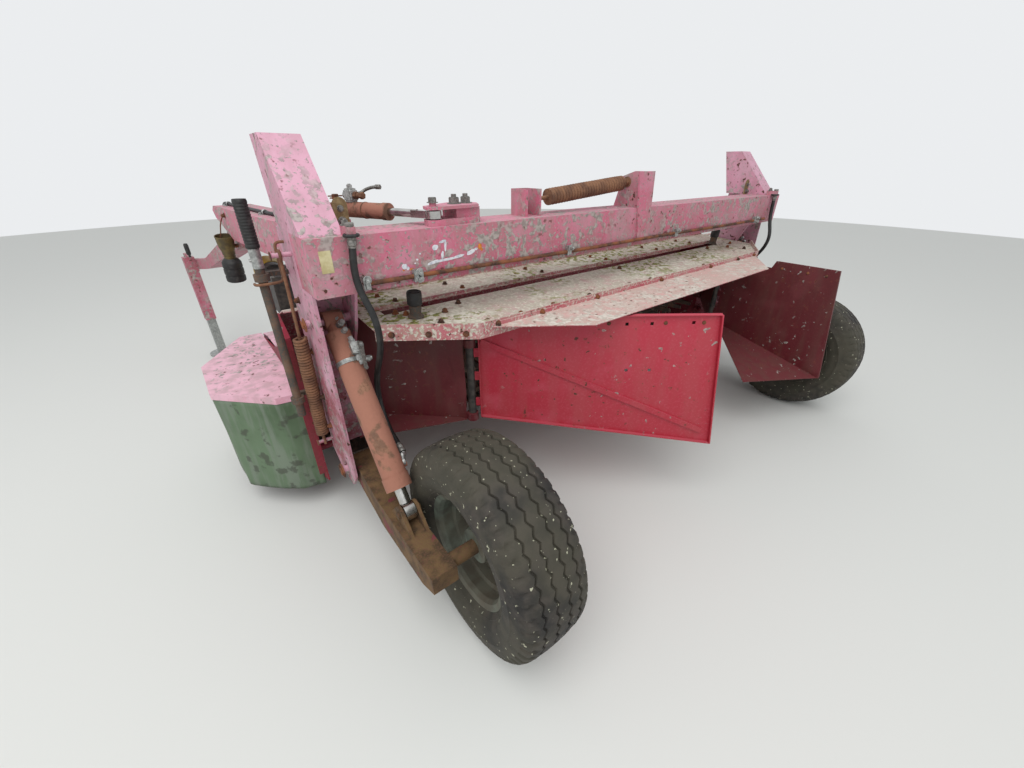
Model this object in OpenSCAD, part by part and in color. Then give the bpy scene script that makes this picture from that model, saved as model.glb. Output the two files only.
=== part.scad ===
// Trailed disc mower conditioner, side pulled, standing lowered on its skids, wheels and jack.
// X points to the machine's right, Y forward, Z up from the ground, in millimetres.
// All parts are drawn with Y = 0 at the rear face of the cross beam, then moved to the shared origin.

/* [Cross beam and legs] */
// Length of the cross beam, which is the width over the legs
beam_l = 3200; // [3000:10:3400]
// Depth of the cross beam, front to rear
beam_d = 180; // [150:5:200]
// Height of the cross beam section
beam_h = 174; // [150:2:190]
// Height of the beam's top above the ground
beam_top = 1340; // [1330:2:1350]
// Width of a leg over its two cheeks
leg_w = 150; // [146:1:156]
// Width of the horns above the beam
horn_w = 124; // [110:2:130]
// Thickness of a leg cheek
cheek_t = 10; // [8:1:12]
// Front edge of the legs
leg_front = 360; // [350:5:370]
// Height of the horns above the beam
horn_h = 272; // [240:1:300]

/* [Running gear] */
// Diameter of the tyres
tyre_d = 760; // [740:5:780]
// Width of the tyres
tyre_w = 264; // [240:2:270]
// Diameter of the rims at the bead
rim_d = 390; // [380:1:400]
// Distance from a leg's outer face to the middle of its wheel
wheel_inset = 262; // [260:1:270]
// Distance of the axle behind the beam's rear face
axle_back = 478; // [460:1:490]
// Height of the arm's pivot
arm_pivot_z = 400; // [390:1:410]
// Distance of the arm's pivot in front of the beam's rear face
arm_pivot_y = 170; // [165:1:175]
// Width of a wheel arm
arm_w = 90; // [84:1:92]
// Diameter of a lift cylinder's barrel
lift_d = 88; // [80:1:88]
// Diameter of a lift cylinder's rod
lift_rod_d = 40; // [34:1:44]

/* [Header] */
// Distance that the header stands out beyond the beam's end on each side
header_over = 50; // [40:1:60]
// Thickness of the sheet metal
sheet_t = 4; // [3:0.5:5]
// Distance from the header's end to the middle of the outer disc's travel
disc_edge = 64.5; // [60:0.5:70]
// Reach of the knives from a disc's axis
knife_r = 262; // [240:1:264]
// Distance of the discs' axes in front of the beam's rear face
disc_y = 1020; // [1010:1:1030]
// Length of the conditioning rotor over its tines
rotor_w = 2800; // [2600:10:2860]
// Radius of the tines' tips
rotor_r = 240; // [220:1:245]
// Radius of the rotor's tube
rotor_tube_r = 75; // [60:1:90]
// Height of the crop deck at its rear edge
deck_rear_z = 1000; // [998:1:1006]

/* [Swath boards] */
// Length of the left swath board along its top
board_left_l = 1040; // [900:5:1060]
// Length of the right swath board along its top
board_right_l = 680; // [650:5:800]
// Inward turn of the left board from straight back
board_left_turn = 53; // [40:1:54]
// Inward turn of the right board from straight back
board_right_turn = 2; // [0:1:10]

/* [Drawbar] */
// Distance from the left end of the beam to the drawbar's pivot
pivot_in = 150; // [145:1:160]
// Distance of the pivot in front of the beam's rear face
pivot_fwd = 370; // [365:1:380]
// Distance from the pivot to the hitch pin
drawbar_reach = 3380; // [3300:10:3450]
// Angle of the drawbar to the left of straight ahead
drawbar_yaw = 6.5; // [4:0.5:8]
// Height of the hitch
hitch_z = 700; // [680:5:720]
// Diameter of the hitch hole
hitch_d = 33; // [30:0.5:36]

/* [Hidden] */
$fn = 40;
fit = 0.05;
seat = 0.3;
left_x = -beam_l / 2;
header_w = beam_l + 2 * header_over;
end_x = -header_over;
beam_bottom = beam_top - beam_h;
disc_count = 7;
disc_pitch = (header_w - 2 * disc_edge) / disc_count;

// Plan outline of the left side guard, from its rear inner corner round the outside: x from the
// beam's left end, y
guard_plan = [
    [end_x - seat, 474], [end_x - 103, 490], [end_x - 317, 712], [end_x - 321, 1050],
    [end_x - 111, 1390], [end_x - seat, 1390]
];
guard_z = 650;
guard_rim = 30;
curtain_bottom = 120;
curtain_t = 10;
guard_reach = 372;
front_edge_y = 1390;

// The shared origin lies on the ground below the middle of the whole machine
hitch_eye_r = 45;
front_y = pivot_fwd + drawbar_reach * cos(drawbar_yaw) + hitch_eye_r;
rear_y = -axle_back - tyre_d / 2;
mid_y = (front_y + rear_y) / 2;

module placed() {
    translate([0, -mid_y, 0]) children();
}

// The left side is drawn from the beam's left end; the right side is its mirror image
module side(s) {
    mirror([s > 0 ? 1 : 0, 0, 0]) translate([left_x, 0, 0]) children();
}

// A profile in Y and Z drawn out along X
module along_x(x0, x1) {
    translate([x0, 0, 0]) rotate([90, 0, 90]) linear_extrude(x1 - x0) children();
}

module rod_x(x0, x1, y, z, r) {
    translate([x0, y, z]) rotate([0, 90, 0]) cylinder(h = x1 - x0, r = r);
}

module bar(p, q, r) {
    d = q - p;
    translate(p) rotate([0, acos(d[2] / norm(d)), atan2(d[1], d[0])]) cylinder(h = norm(d), r = r);
}

function unit(v) = v / norm(v);
function left_of(v) = [-v[1], v[0]];
function bend_normal(p, i) =
    let (last = len(p) - 1,
         a = left_of(unit(i == 0 ? p[1] - p[0] : p[i] - p[i - 1])),
         b = left_of(unit(i == last ? p[last] - p[last - 1] : p[i + 1] - p[i])))
    (a + b) / (1 + a * b);
// Outline of a sheet of thickness t folded along the line p
function folded(p, t) = concat(
    [for (i = [0:len(p) - 1]) p[i] + bend_normal(p, i) * t / 2],
    [for (i = [len(p) - 1:-1:0]) p[i] - bend_normal(p, i) * t / 2]);

// A round wire coil standing on Z = 0
module coil(r, wire, h, turns, steps = 8, sides = 4) {
    n = round(turns * steps);
    low = wire * (sides == 3 ? sin(60) : 1);
    pts = [for (i = [0:n]) let (a = 360 * i / steps, z = low + (h - 2 * low) * i / n)
           for (k = [0:sides - 1]) let (b = 360 * k / sides)
           [(r + wire * cos(b)) * cos(a), (r + wire * cos(b)) * sin(a), z + wire * sin(b)]];
    faces = concat(
        [[for (k = [sides - 1:-1:0]) k]],
        [for (i = [0:n - 1]) for (k = [0:sides - 1])
         let (a = i * sides + k, b = i * sides + (k + 1) % sides)
         each [[a, b, b + sides], [a, b + sides, a + sides]]],
        [[for (k = [0:sides - 1]) n * sides + k]]);
    polyhedron(points = pts, faces = faces, convexity = 10);
}

// Cross beam, with the clamped rod along its lower rear edge
module cross_beam() {
    color("palevioletred") {
        translate([left_x, 0, beam_bottom]) cube([beam_l, beam_d, beam_h]);
    }
}

// One leg: two cheeks, a web between them, the horn above and the two pins
lift_top_y = 203;
lift_top_z = 1032;
lift_pin_r = 15;
arm_pin_r = 22;
web_y = 262;
horn_base = [40, 325];
horn_top = [280, 395];
spring_top = [222, 1270];
spring_foot = [328, 470];
cheek_rear = 70;
// The part of a cheek's outline that both cheeks share, from the beam's front down round the pivot
cheek_low = [
    [leg_front, beam_bottom - 130], [leg_front, arm_pivot_z],
    [arm_pivot_y + 100, arm_pivot_z - 60], [arm_pivot_y - 40, arm_pivot_z - 60],
    [cheek_rear, arm_pivot_z + 10], [cheek_rear, arm_pivot_z + 100]
];
cheek_outer = concat([
    [cheek_rear, beam_bottom - seat], [beam_d + seat, beam_bottom - seat],
    [beam_d + seat, beam_top + 4], [leg_front, beam_top + 4]], cheek_low);
// The inner cheek is cut away behind, so that the cylinder and the web lie open
cheek_inner = concat([
    [web_y - 22, 880], [160, 1000], [94, 1140], [94, beam_bottom - seat],
    [beam_d + seat, beam_bottom - seat], [beam_d + seat, beam_top + 4], [beam_d + 30, beam_top + 4],
    [beam_d + 30, beam_bottom - 60]], cheek_low, [[web_y - 22, 560]]);
module leg() {
    color("mediumvioletred") {
        along_x(0, cheek_t) polygon(cheek_outer);
        along_x(leg_w - cheek_t, leg_w) polygon(cheek_inner);
        along_x(cheek_t, leg_w - cheek_t)
            polygon([[web_y, arm_pivot_z + 70], [web_y + 8, arm_pivot_z + 70],
                     [web_y + 8, beam_bottom - 40], [web_y, beam_bottom - 40]]);
        along_x(0, horn_w) polygon([
            [horn_base[0], beam_top + seat], [horn_base[1], beam_top + seat],
            [horn_top[1], beam_top + horn_h], [horn_top[0], beam_top + horn_h]]);
        rod_x(-16, leg_w + 8, lift_top_y, lift_top_z, lift_pin_r);
        rod_x(-20, leg_w + 6, arm_pivot_y, arm_pivot_z, arm_pin_r);
        rod_x(-60, 1, spring_top[0], spring_top[1], 8);
        rod_x(-60, 1, spring_foot[0], spring_foot[1], 8);
    }
}

// Post, spring bracket and clevis for the swing cylinder on the beam
// Route of a lift hose: x from the beam's end, y, z
hose_r = 11;
lift_hose = [
    [128, -20, 1346], [126, -20, 1318], [122, -20, 1284], [119, -21, 1248], [119, -24, 1212],
    [123, -32, 1177], [131, -44, 1143], [139, -57, 1108], [144, -64, 1070], [147, -61, 1030],
    [149, -47, 988], [150, -23, 946], [151, 6, 905], [151, 34, 864], [151, 55, 820],
    [150, 65, 774], [149, 61, 728], [147, 42, 688], [144, 12, 658], [141, -24, 637],
    [139, -62, 626], [138, -98, 616], [137, -130, 604]
];
swing_pin = [440, 45];
swing_z = beam_top + 36;
swing_eye_h = 24;
clevis_gap = 4;
clevis_plan = [
    [swing_pin[0] - 34, swing_pin[1] - 22], [swing_pin[0] + 30, 14], [620, 30],
    [650, 90], [640, 160], [560, 160], [swing_pin[0] - 20, swing_pin[1] + 34]
];
post_x = 905;
bracket_x = 1570;
module beam_fittings() {
    eye_half = swing_eye_h / 2 + clevis_gap;
    color("palevioletred") translate([left_x, 0, 0]) {
        translate([post_x - 40, 50, beam_top + seat]) difference() {
            cube([80, 100, 101]);
            translate([8, -1, -1]) cube([64, 93, 103]);
        }
        along_x(bracket_x - 6, bracket_x + 6) polygon([
            [-1, beam_top + seat], [170, beam_top + seat], [130, beam_top + 138], [60, beam_top + 160],
            [-1, beam_top + 160]]);
        translate([bracket_x - 70, -seat, beam_top - 150]) rotate([90, 0, 0])
            linear_extrude(8) polygon([[60, 0], [150, 0], [130, 310], [10, 310], [30, 160]]);
        translate([0, 0, beam_top + seat]) linear_extrude(swing_z - eye_half - beam_top - seat)
            polygon(clevis_plan);
        translate([0, 0, swing_z + eye_half]) linear_extrude(10) polygon(clevis_plan);
        translate([530, 40, beam_top + seat]) cube([100, 100, swing_z + eye_half - beam_top + 1]);
        translate([swing_pin[0], swing_pin[1], beam_top + seat])
            cylinder(h = swing_z + 40 - beam_top, r = swing_pin_r);
    }
    // Elbows that the lift hoses hang from, behind the beam's top edge
    color("silver") for (s = [-1, 1]) side(s) along_x(lift_hose[0][0] - 12, lift_hose[0][0] + 12) polygon([
        [-32, lift_hose[0][2] + 1.1], [-32, beam_top + 28], [36, beam_top + 28],
        [36, beam_top + seat], [4, beam_top + seat], [4, lift_hose[0][2] + 1.1]]);
}

// The horizontal spring over the beam, hooked between the post and the bracket
module beam_spring() {
    p = [post_x + 41.2, 100, beam_top + 58];
    q = [bracket_x - 7.2, 100, beam_top + 112];
    d = q - p;
    dir = d / norm(d);
    color("saddlebrown") translate([left_x, 0, 0]) {
        translate(p + dir * (92 + seat)) rotate([0, acos(dir[2]), atan2(dir[1], dir[0])])
            coil(23, 9, norm(d) - 154 - 2 * seat, 23);
        bar(p, p + dir * 92, 8);
        bar(q - dir * 62, q, 8);
        bar(p + dir * 82, p + dir * 92, 32);
        bar(q - dir * 62, q - dir * 50, 32);
    }
}

// A tension spring on the outer face of each leg, with a long hook at its top
module float_spring() {
    x = -34;
    p = [x, spring_foot[0], spring_foot[1]];
    q = [x, spring_top[0], spring_top[1]];
    d = q - p;
    dir = d / norm(d);
    module turned() { rotate([0, acos(dir[2]), atan2(dir[1], dir[0])]) children(); }
    color("saddlebrown") {
        for (e = [p, q]) difference() {
            translate(e - [7, 0, 0]) rotate([0, 90, 0]) cylinder(h = 14, r = 20);
            translate(e - [8, 0, 0]) rotate([0, 90, 0]) cylinder(h = 16, r = 8 + seat);
        }
        translate(p + dir * (36 + seat)) turned() coil(20, 6, 470 - 2 * seat, 36, steps = 7, sides = 3);
        bar(p + dir * 16, p + dir * 36, 6);
        bar(p + dir * 28, p + dir * 36, 24);
        bar(p + dir * 506, p + dir * 514, 24);
        bar(p + dir * 506, q - dir * 16, 8);
    }
}
module float_springs() {
    for (s = [-1, 1]) side(s) float_spring();
}

// Vertical pin and its support for the drawbar, in front of the beam
fork_r = 72;
fork_t = 14;
drawbar_top = beam_top - 6;
drawbar_bottom = beam_top - 156;
pivot_pin_r = 26;
module pivot_bracket() {
    gap = 3;
    color("palevioletred") translate([left_x, 0, 0]) {
        translate([0, 0, drawbar_bottom + fork_t + gap])
            linear_extrude(drawbar_top - drawbar_bottom - 2 * fork_t - 2 * gap) {
            translate([pivot_in, pivot_fwd]) circle(r = fork_r - 8);
            polygon([[leg_w + 2, beam_d + seat], [pivot_in + 130, beam_d + seat],
                     [pivot_in + 64, pivot_fwd], [pivot_in - 64, pivot_fwd], [pivot_in - 60, 300],
                     [leg_w + 2, 240]]);
        }
        translate([pivot_in, pivot_fwd, drawbar_bottom - 18])
            cylinder(h = drawbar_top - drawbar_bottom + 30, r = pivot_pin_r);
    }
}

// Prop pole with its grip, carried in two rings on the left leg
pole_x = -92;
pole_y = 300;
module prop_pole() {
    color("dimgray") translate([left_x, 0, 0]) {
        translate([pole_x, pole_y, 640]) cylinder(h = 790, r = 15);
        translate([pole_x, pole_y, 1290]) cylinder(h = 142, r = 19);
        for (z = [700, 1180]) {
            translate([pole_x, pole_y, z]) cylinder(h = 24, r = 24);
            translate([0, 0, z + 4]) linear_extrude(16) polygon([
                [pole_x - 12, pole_y], [pole_x + 12, pole_y], [pole_x + 22, 336], [-seat, 336],
                [-seat, 356], [pole_x, 356]]);
        }
    }
}

// Wheel arm with its pivot boss, two lugs for the lift cylinder and the stub axle
arm_x = (leg_w - arm_w) / 2 - 8;
lift_x = leg_w / 2 + 2;
axle_y = -axle_back;
axle_z = tyre_d / 2;
lift_foot_y = -262;
lift_foot_z = 455;
lug_r = 31;
lug_t = 12;
foot_pin_r = 13;
axle_r = 26;
module arm() {
    color("sienna") {
        difference() {
            union() {
                along_x(arm_x, arm_x + arm_w) polygon([
                    [arm_pivot_y, arm_pivot_z - 48], [arm_pivot_y, arm_pivot_z + 44],
                    [60, arm_pivot_z + 38], [-90, 408], [-400, 408], [axle_y - 44, axle_z + 26],
                    [axle_y - 48, axle_z - 40], [-440, 300], [-110, 284]]);
                rod_x(cheek_t + 3, leg_w - cheek_t - 3, arm_pivot_y, arm_pivot_z, 48);
                for (x = [lift_x - 22 - lug_t, lift_x + 22]) along_x(x, x + lug_t) {
                    polygon([[lift_foot_y - 100, 390], [lift_foot_y + 100, 390],
                             [lift_foot_y + 26, lift_foot_z + 17], [lift_foot_y - 26, lift_foot_z + 17]]);
                    translate([lift_foot_y, lift_foot_z]) circle(r = lug_r);
                }
            }
            rod_x(0, leg_w, arm_pivot_y, arm_pivot_z, arm_pin_r + fit);
        }
        rod_x(lift_x - 42, lift_x + 42, lift_foot_y, lift_foot_z, foot_pin_r);
        rod_x(arm_x + arm_w - 5, wheel_inset + 70, axle_y, axle_z, axle_r);
    }
}

// Rim with its disc and hub on the stub axle
module rim() {
    r = rim_d / 2;
    w = tyre_w * 0.72;
    x0 = wheel_inset - w / 2;
    color("darkseagreen") translate([x0, axle_y, axle_z]) rotate([0, 90, 0]) difference() {
        rotate_extrude($fn = 64) polygon([
            [axle_r + fit, 40], [62, 40], [72, 96], [r - 34, 100], [r - 30, 66], [r - 16, 60],
            [r - 16, 22], [r - 8, 6], [r + 14, 0], [r + 14, 7], [r, 12], [r, w - 12],
            [r + 14, w - 7], [r + 14, w], [r - 8, w - 6], [r - 16, w - 22], [r - 16, 108],
            [r - 34, 112], [72, 108], [62, 160], [axle_r + fit, 160]]);
        for (a = [0:60:300]) rotate(a + 30) translate([115, 0, 80]) cylinder(h = 50, r = 19, $fn = 24);
    }
}

// Tyre with its circumferential ribs
groove_w = 9;
groove_deep = 9;
module tyre() {
    r = tyre_d / 2;
    w = tyre_w / 2;
    bead = rim_d / 2 + seat;
    lip = tyre_w * 0.72 / 2 - 12 - seat;
    side_in = [[bead, -lip], [bead + 16, -lip - 14 + 8], [bead + 60, -w + 6], [bead + 95, -w],
               [r - 60, -w + 6], [r - 28, -w + 20], [r - 10, -w + 44]];
    grooves = [-78, -40, 0, 40, 78];
    crown = [for (g = grooves) each [
        [r - abs(g) * 0.055, g - groove_w], [r - groove_deep - abs(g) * 0.055, g - groove_w / 2],
        [r - groove_deep - abs(g) * 0.055, g + groove_w / 2], [r - abs(g) * 0.055, g + groove_w]]];
    mirrored = [for (i = [len(side_in) - 1:-1:0]) [side_in[i][0], -side_in[i][1]]];
    inner = [[bead + 26, lip - 12], [bead + 90, w - 22], [r - 40, w - 34], [r - 34, 0],
             [r - 40, -w + 34], [bead + 90, -w + 22], [bead + 26, -lip + 12]];
    color("dimgray") translate([wheel_inset, axle_y, axle_z]) rotate([0, 90, 0])
        rotate_extrude($fn = 64) polygon(concat(side_in, crown, mirrored, inner));
}

// Lift cylinder, drawn down its own axis from the upper pin, then turned to the arm's lugs
lift_dir = [lift_foot_y - lift_top_y, lift_foot_z - lift_top_z];
lift_len = norm(lift_dir);
lift_turn = atan2(lift_dir[0], -lift_dir[1]);
lift_body = 655;
lift_port = 585;
module on_lift_line() {
    translate([lift_x, lift_top_y, lift_top_z]) rotate([lift_turn, 0, 0]) mirror([0, 0, 1]) children();
}
module eye(r, w, hole) {
    rotate([0, 90, 0]) difference() {
        translate([0, 0, -w / 2]) cylinder(h = w, r = r);
        translate([0, 0, -w]) cylinder(h = 2 * w, r = hole);
    }
}
module lift_barrel() {
    rod_r = lift_rod_d / 2;
    color("chocolate") on_lift_line() difference() {
        union() {
            rotate([0, 90, 0]) translate([0, 0, -32]) cylinder(h = 64, r = 34);
            translate([0, 0, 20]) cylinder(h = 50, r = 30);
            translate([0, 0, 55]) cylinder(h = lift_body - 55, r = lift_d / 2);
            translate([0, 0, lift_body - 48]) cylinder(h = 48, r = lift_d / 2 + 3);
            translate([lift_d / 2 - 4, 0, lift_port]) rotate([0, 90, 0]) cylinder(h = 15, r = 9);
        }
        rotate([0, 90, 0]) translate([0, 0, -50]) cylinder(h = 100, r = lift_pin_r + fit);
        translate([0, 0, 76]) cylinder(h = lift_body - 96, r = lift_d / 2 - 8);
        translate([0, 0, lift_body - 30]) cylinder(h = 40, r = rod_r + fit);
    }
}
module lift_rod() {
    color("lightgray") on_lift_line() difference() {
        union() {
            translate([0, 0, lift_len - 640]) cylinder(h = 610, r = lift_rod_d / 2);
            translate([0, 0, lift_len]) rotate([0, 90, 0]) translate([0, 0, -19]) cylinder(h = 38, r = 32);
        }
        translate([0, 0, lift_len]) rotate([0, 90, 0]) translate([0, 0, -50])
            cylinder(h = 100, r = foot_pin_r + 6);
    }
}

// Header end plates with their edge flanges
end_t = 6;
rotor_y = 560;
rotor_z = 520;
rotor_shaft_r = 25;
module end_plate() {
    outline = [[400, 200], [400, 930], [520, 1000], [640, 930], [800, 760], [1000, 690],
               [1340, 640], [1340, 560], [1180, 120], [1060, 60], [760, 60], [520, 140]];
    color("mediumvioletred") {
        along_x(end_x, end_x + end_t) polygon(outline);
        difference() {
            rod_x(end_x + end_t - 1, end_x + end_t + 34, rotor_y, rotor_z, 46);
            rod_x(end_x + end_t, end_x + end_t + 50, rotor_y, rotor_z, rotor_shaft_r + fit);
        }
        along_x(end_x - 30, end_x + end_t) polygon(folded([[404, 250], [404, 926], [520, 994]], 6));
    }
}
module end_plates() {
    for (s = [-1, 1]) side(s) end_plate();
}

// Lower links from the leg cheeks to the header end plates
module header_link() {
    color("palevioletred") {
        rod_x(leg_w + seat, leg_w + 60, 320, 440, 20);
        along_x(leg_w + 20, leg_w + 36) polygon([
            [295, 410], [350, 410], [560, 258], [592, 300], [350, 464], [295, 464]]);
        rod_x(end_x + end_t + seat, leg_w + 36, 560, 290, 18);
    }
}
module header_links() {
    for (s = [-1, 1]) side(s) header_link();
}

// Box beam along the header's front top edge
front_beam_y = 860;
front_beam_z = 590;
front_beam_s = 90;
guard_hinge_y = 974;
guard_hinge_z = 700;
guard_hinge_r = 9;
guard_left = 360;
guard_right = beam_l - end_x - end_t - 6;
guard_hinges = [500, 1400, 2300, guard_right - 280];
module front_beam() {
    color("mediumvioletred") {
        translate([left_x + end_x + end_t + seat, front_beam_y, front_beam_z])
            cube([header_w - 2 * end_t - 2 * seat, front_beam_s, front_beam_s]);
        for (x = guard_hinges) along_x(left_x + x, left_x + x + 40) difference() {
            union() {
                translate([guard_hinge_y, guard_hinge_z]) circle(r = 17);
                polygon([[front_beam_y + front_beam_s, 600], [front_beam_y + front_beam_s, 676],
                         [guard_hinge_y - 17, guard_hinge_z], [guard_hinge_y + 17, guard_hinge_z]]);
            }
            translate([guard_hinge_y, guard_hinge_z]) circle(r = guard_hinge_r + fit);
        }
    }
}

// Folded hood over the rotor, from the front beam up to the deck
deck_front = 430;
deck_back = -150;
deck_slope = atan((1036 - deck_rear_z) / (deck_front - deck_back));
function deck_under(y) = deck_rear_z + (y - deck_back) * tan(deck_slope) - seat - sheet_t / 2 - 0.1;
hood_line = [[948, front_beam_z + front_beam_s + seat + sheet_t / 2],
             [860, front_beam_z + front_beam_s + seat + sheet_t / 2], [800, 750], [640, 920],
             [530, 990], [424, deck_under(424)], [394, deck_under(394)]];
module hood() {
    color("palevioletred") along_x(left_x + end_x + end_t + seat, -left_x - end_x - end_t - seat)
        polygon(folded(hood_line, sheet_t));
}

// Crop deck behind the hood: a sheet with a plank on it, a slot behind the plank, an upright
// lip along its front edge and a rim round its rear edges
deck_corner = 485;
deck_side = leg_w + 18;
deck_plan = [
    [deck_side, deck_front], [deck_side, 40], [deck_corner, deck_back],
    [beam_l - deck_corner, deck_back], [beam_l - deck_side, 40], [beam_l - deck_side, deck_front]
];
rim_below = 35;
rim_above = 28;
plank = [226, 2800];
plank_y = [221, 360];
slot_y = [160, 214];
module on_deck() {
    translate([left_x, deck_back, deck_rear_z]) rotate([deck_slope, 0, 0])
        translate([0, -deck_back, 0]) children();
}
module deck() {
    color("rosybrown") on_deck() {
        difference() {
            linear_extrude(sheet_t) polygon(deck_plan);
            translate([plank[0] + 30, slot_y[0], -1]) cube([plank[1] - plank[0] - 60, slot_y[1] - slot_y[0], 10]);
        }
        translate([0, 0, -rim_below]) linear_extrude(rim_below + rim_above)
            polygon(folded([deck_plan[1], deck_plan[2], deck_plan[3], deck_plan[4]], sheet_t));
        translate([plank[0], plank_y[0], sheet_t - 1]) cube([plank[1] - plank[0], plank_y[1] - plank_y[0], 15]);
        along_x(deck_side, beam_l - deck_side) polygon(folded([
            [deck_front - 4, 2.2], [deck_front + 2, 2.2], [deck_front + 8, 84], [deck_front + 22, 88]], sheet_t));
    }
}

// Fixed panels that lead the crop to the swath boards, with a floor plate below and a gusset
// beside the hinge rod. Drawn flat, with the first axis running from the hinge to the leg.
hinge_x = 548;
hinge_y = 32;
panel_turn = 37;
panel_l = 485;
panel_low = [[30, 500], [panel_l, 538]];
panel_end = [hinge_x - panel_l * cos(panel_turn), hinge_y + panel_l * sin(panel_turn)];
module on_panel() {
    translate([hinge_x, hinge_y, 0]) rotate(180 - panel_turn) children();
}
module upright() {
    rotate([90, 0, 0]) linear_extrude(sheet_t, center = true) children();
}
module wing_panel() {
    slope = atan((panel_low[1][1] - panel_low[0][1]) / (panel_low[1][0] - panel_low[0][0]));
    color("firebrick") {
        difference() {
            union() {
                on_panel() upright() polygon([
                    panel_low[0], panel_low[1], [panel_l, 1100], [30, 1100]]);
                on_panel() translate([0, sheet_t - 1, 0]) upright()
                    polygon([[30, 510], [24, 640], [34, 1100], [110, 1100], [100, 880]]);
                along_x(panel_end[0] - sheet_t / 2, panel_end[0] + sheet_t / 2)
                    polygon([[panel_end[1] - 1, panel_low[1][1]], [390, panel_low[1][1]], [390, 1100],
                             [panel_end[1] - 1, 1100]]);
            }
            translate([-left_x, 0, 0]) on_deck() translate([-10, deck_back - 50, -seat]) cube([800, 900, 300]);
        }
        on_panel() translate([0, 0, panel_low[0][1] - 30 * tan(slope)]) rotate([0, -slope, 0])
            linear_extrude(sheet_t) polygon([[30, -2], [470, -2], [332, 144], [30, 14]]);
        for (z = lug_z) translate([hinge_x, hinge_y, z]) linear_extrude(lug_h) difference() {
            union() {
                circle(r = 26);
                rotate(180 - panel_turn) translate([0, -6]) square([44, 12]);
            }
            circle(r = hinge_r + fit);
        }
    }
}
module wing_panels() {
    for (s = [-1, 1]) side(s) wing_panel();
}

// Flap that hangs on the deck's rear rim and reaches back over the swath boards
flap_z = 1001;
flap_y = deck_back - sheet_t / 2 - seat - 1.3;
flap_plan = [[530, flap_y], [850, -380], [2330, -380], [2670, flap_y]];
module rear_flap() {
    color("rosybrown") translate([left_x, 0, 0]) {
        translate([0, 0, flap_z]) linear_extrude(3) polygon(flap_plan);
        translate([530, flap_y - 4, flap_z]) cube([2140, 4, 18]);
    }
}

// Cutter bar with its bearing towers and skids
bar_z = 32;
bar_h = 50;
tower_top = 96;
disc_x0 = -(disc_count - 1) / 2 * disc_pitch;
module cutter_bar() {
    color("dimgray") {
        translate([left_x + end_x + end_t + seat, disc_y - 100, bar_z])
            cube([header_w - 2 * end_t - 2 * seat, 170, bar_h]);
        for (i = [0:disc_count - 1]) translate([disc_x0 + i * disc_pitch, 0, 0]) {
            translate([0, disc_y, bar_z]) cylinder(h = tower_top - bar_z - 8, r = 62);
            translate([0, disc_y, bar_z]) cylinder(h = tower_top - bar_z + 30, r = 18);
            along_x(-110, 110) polygon(folded([
                [disc_y + 95, 66], [disc_y + 70, 30], [disc_y + 20, 4], [disc_y - 130, 4], [disc_y - 240, 20]], 8));
        }
    }
}

// Cutting disc: oval dish with two knives
disc_long = 190;
disc_short = 150;
module disc(i) {
    color("gray") translate([disc_x0 + i * disc_pitch, disc_y, tower_top]) rotate(i % 2 == 0 ? 0 : 90)
        difference() {
            union() {
                linear_extrude(7) polygon([for (a = [0:10:350]) [disc_long * cos(a), disc_short * sin(a)]]);
                cylinder(h = 44, r1 = 95, r2 = 46);
                for (s = [0, 180]) rotate(s) {
                    translate([knife_r - 110, -20, -5]) cube([110, 40, 5.01]);
                    translate([knife_r - 92, 0, -9]) cylinder(h = 26, r = 11);
                }
            }
            translate([0, 0, -1]) cylinder(h = 33, r = 18 + fit);
        }
}

// Conditioning rotor: tube with rows of steel tines
tine_rows = 4;
tine_pitch = 145;
module rotor() {
    n = floor(rotor_w / tine_pitch);
    color("dimgray") translate([0, rotor_y, rotor_z]) {
        rod_x(-rotor_w / 2, rotor_w / 2, 0, 0, rotor_tube_r);
        rod_x(-header_w / 2 + end_t + seat, header_w / 2 - end_t - seat, 0, 0, rotor_shaft_r);
        for (row = [0:tine_rows - 1]) rotate([row * 360 / tine_rows, 0, 0])
            for (i = [0:n - 1]) {
                x = -rotor_w / 2 + 40 + i * tine_pitch + row * tine_pitch / tine_rows;
                along_x(x - 6, x + 6) polygon([[-24, 60], [24, 60], [10, rotor_r], [-14, rotor_r]]);
            }
    }
}

// Bevel gearbox on the front beam, with its column down to the first disc
gearbox_x = 110;
input_z = 1005;
input_x = 80;
pedestal_z = front_beam_z + front_beam_s + sheet_t + 2 * seat;
module gearbox() {
    color("dimgray") translate([left_x, 0, 0]) {
        translate([gearbox_x - 90, 890, pedestal_z]) cube([250, 58, 890 - pedestal_z]);
        translate([gearbox_x - 90, 930, 860]) cube([180, 250, 190]);
        translate([input_x, 1170, input_z]) rotate([-90, 0, 0]) cylinder(h = 90, r = 62);
        translate([input_x, 1250, input_z]) rotate([-90, 0, 0]) cylinder(h = 120, r = 17.5);
        translate([gearbox_x + 60, 940, 870]) cube([110, 160, 120]);
        translate([beam_l / 2 + disc_x0, disc_y, tower_top + 60]) cylinder(h = 760, r = 40);
    }
}
module shaft_guard() {
    color("gold") translate([left_x + input_x, 1260 + seat, input_z]) rotate([-90, 0, 0]) difference() {
        cylinder(h = 130, r1 = 66, r2 = 74);
        translate([0, 0, 8]) cylinder(h = 130, r1 = 63, r2 = 71);
        translate([0, 0, -1]) cylinder(h = 20, r = 30);
    }
}

// Side guard plates with a rim, and the canvas that hangs from them
module side_guard() {
    outer = [for (i = [0:4]) guard_plan[i]];
    color("palevioletred") {
        translate([0, 0, guard_z - sheet_t]) linear_extrude(sheet_t) polygon(guard_plan);
        translate([0, 0, guard_z - guard_rim]) linear_extrude(guard_rim)
            polygon(folded([for (p = outer) p], sheet_t));
    }
}
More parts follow.
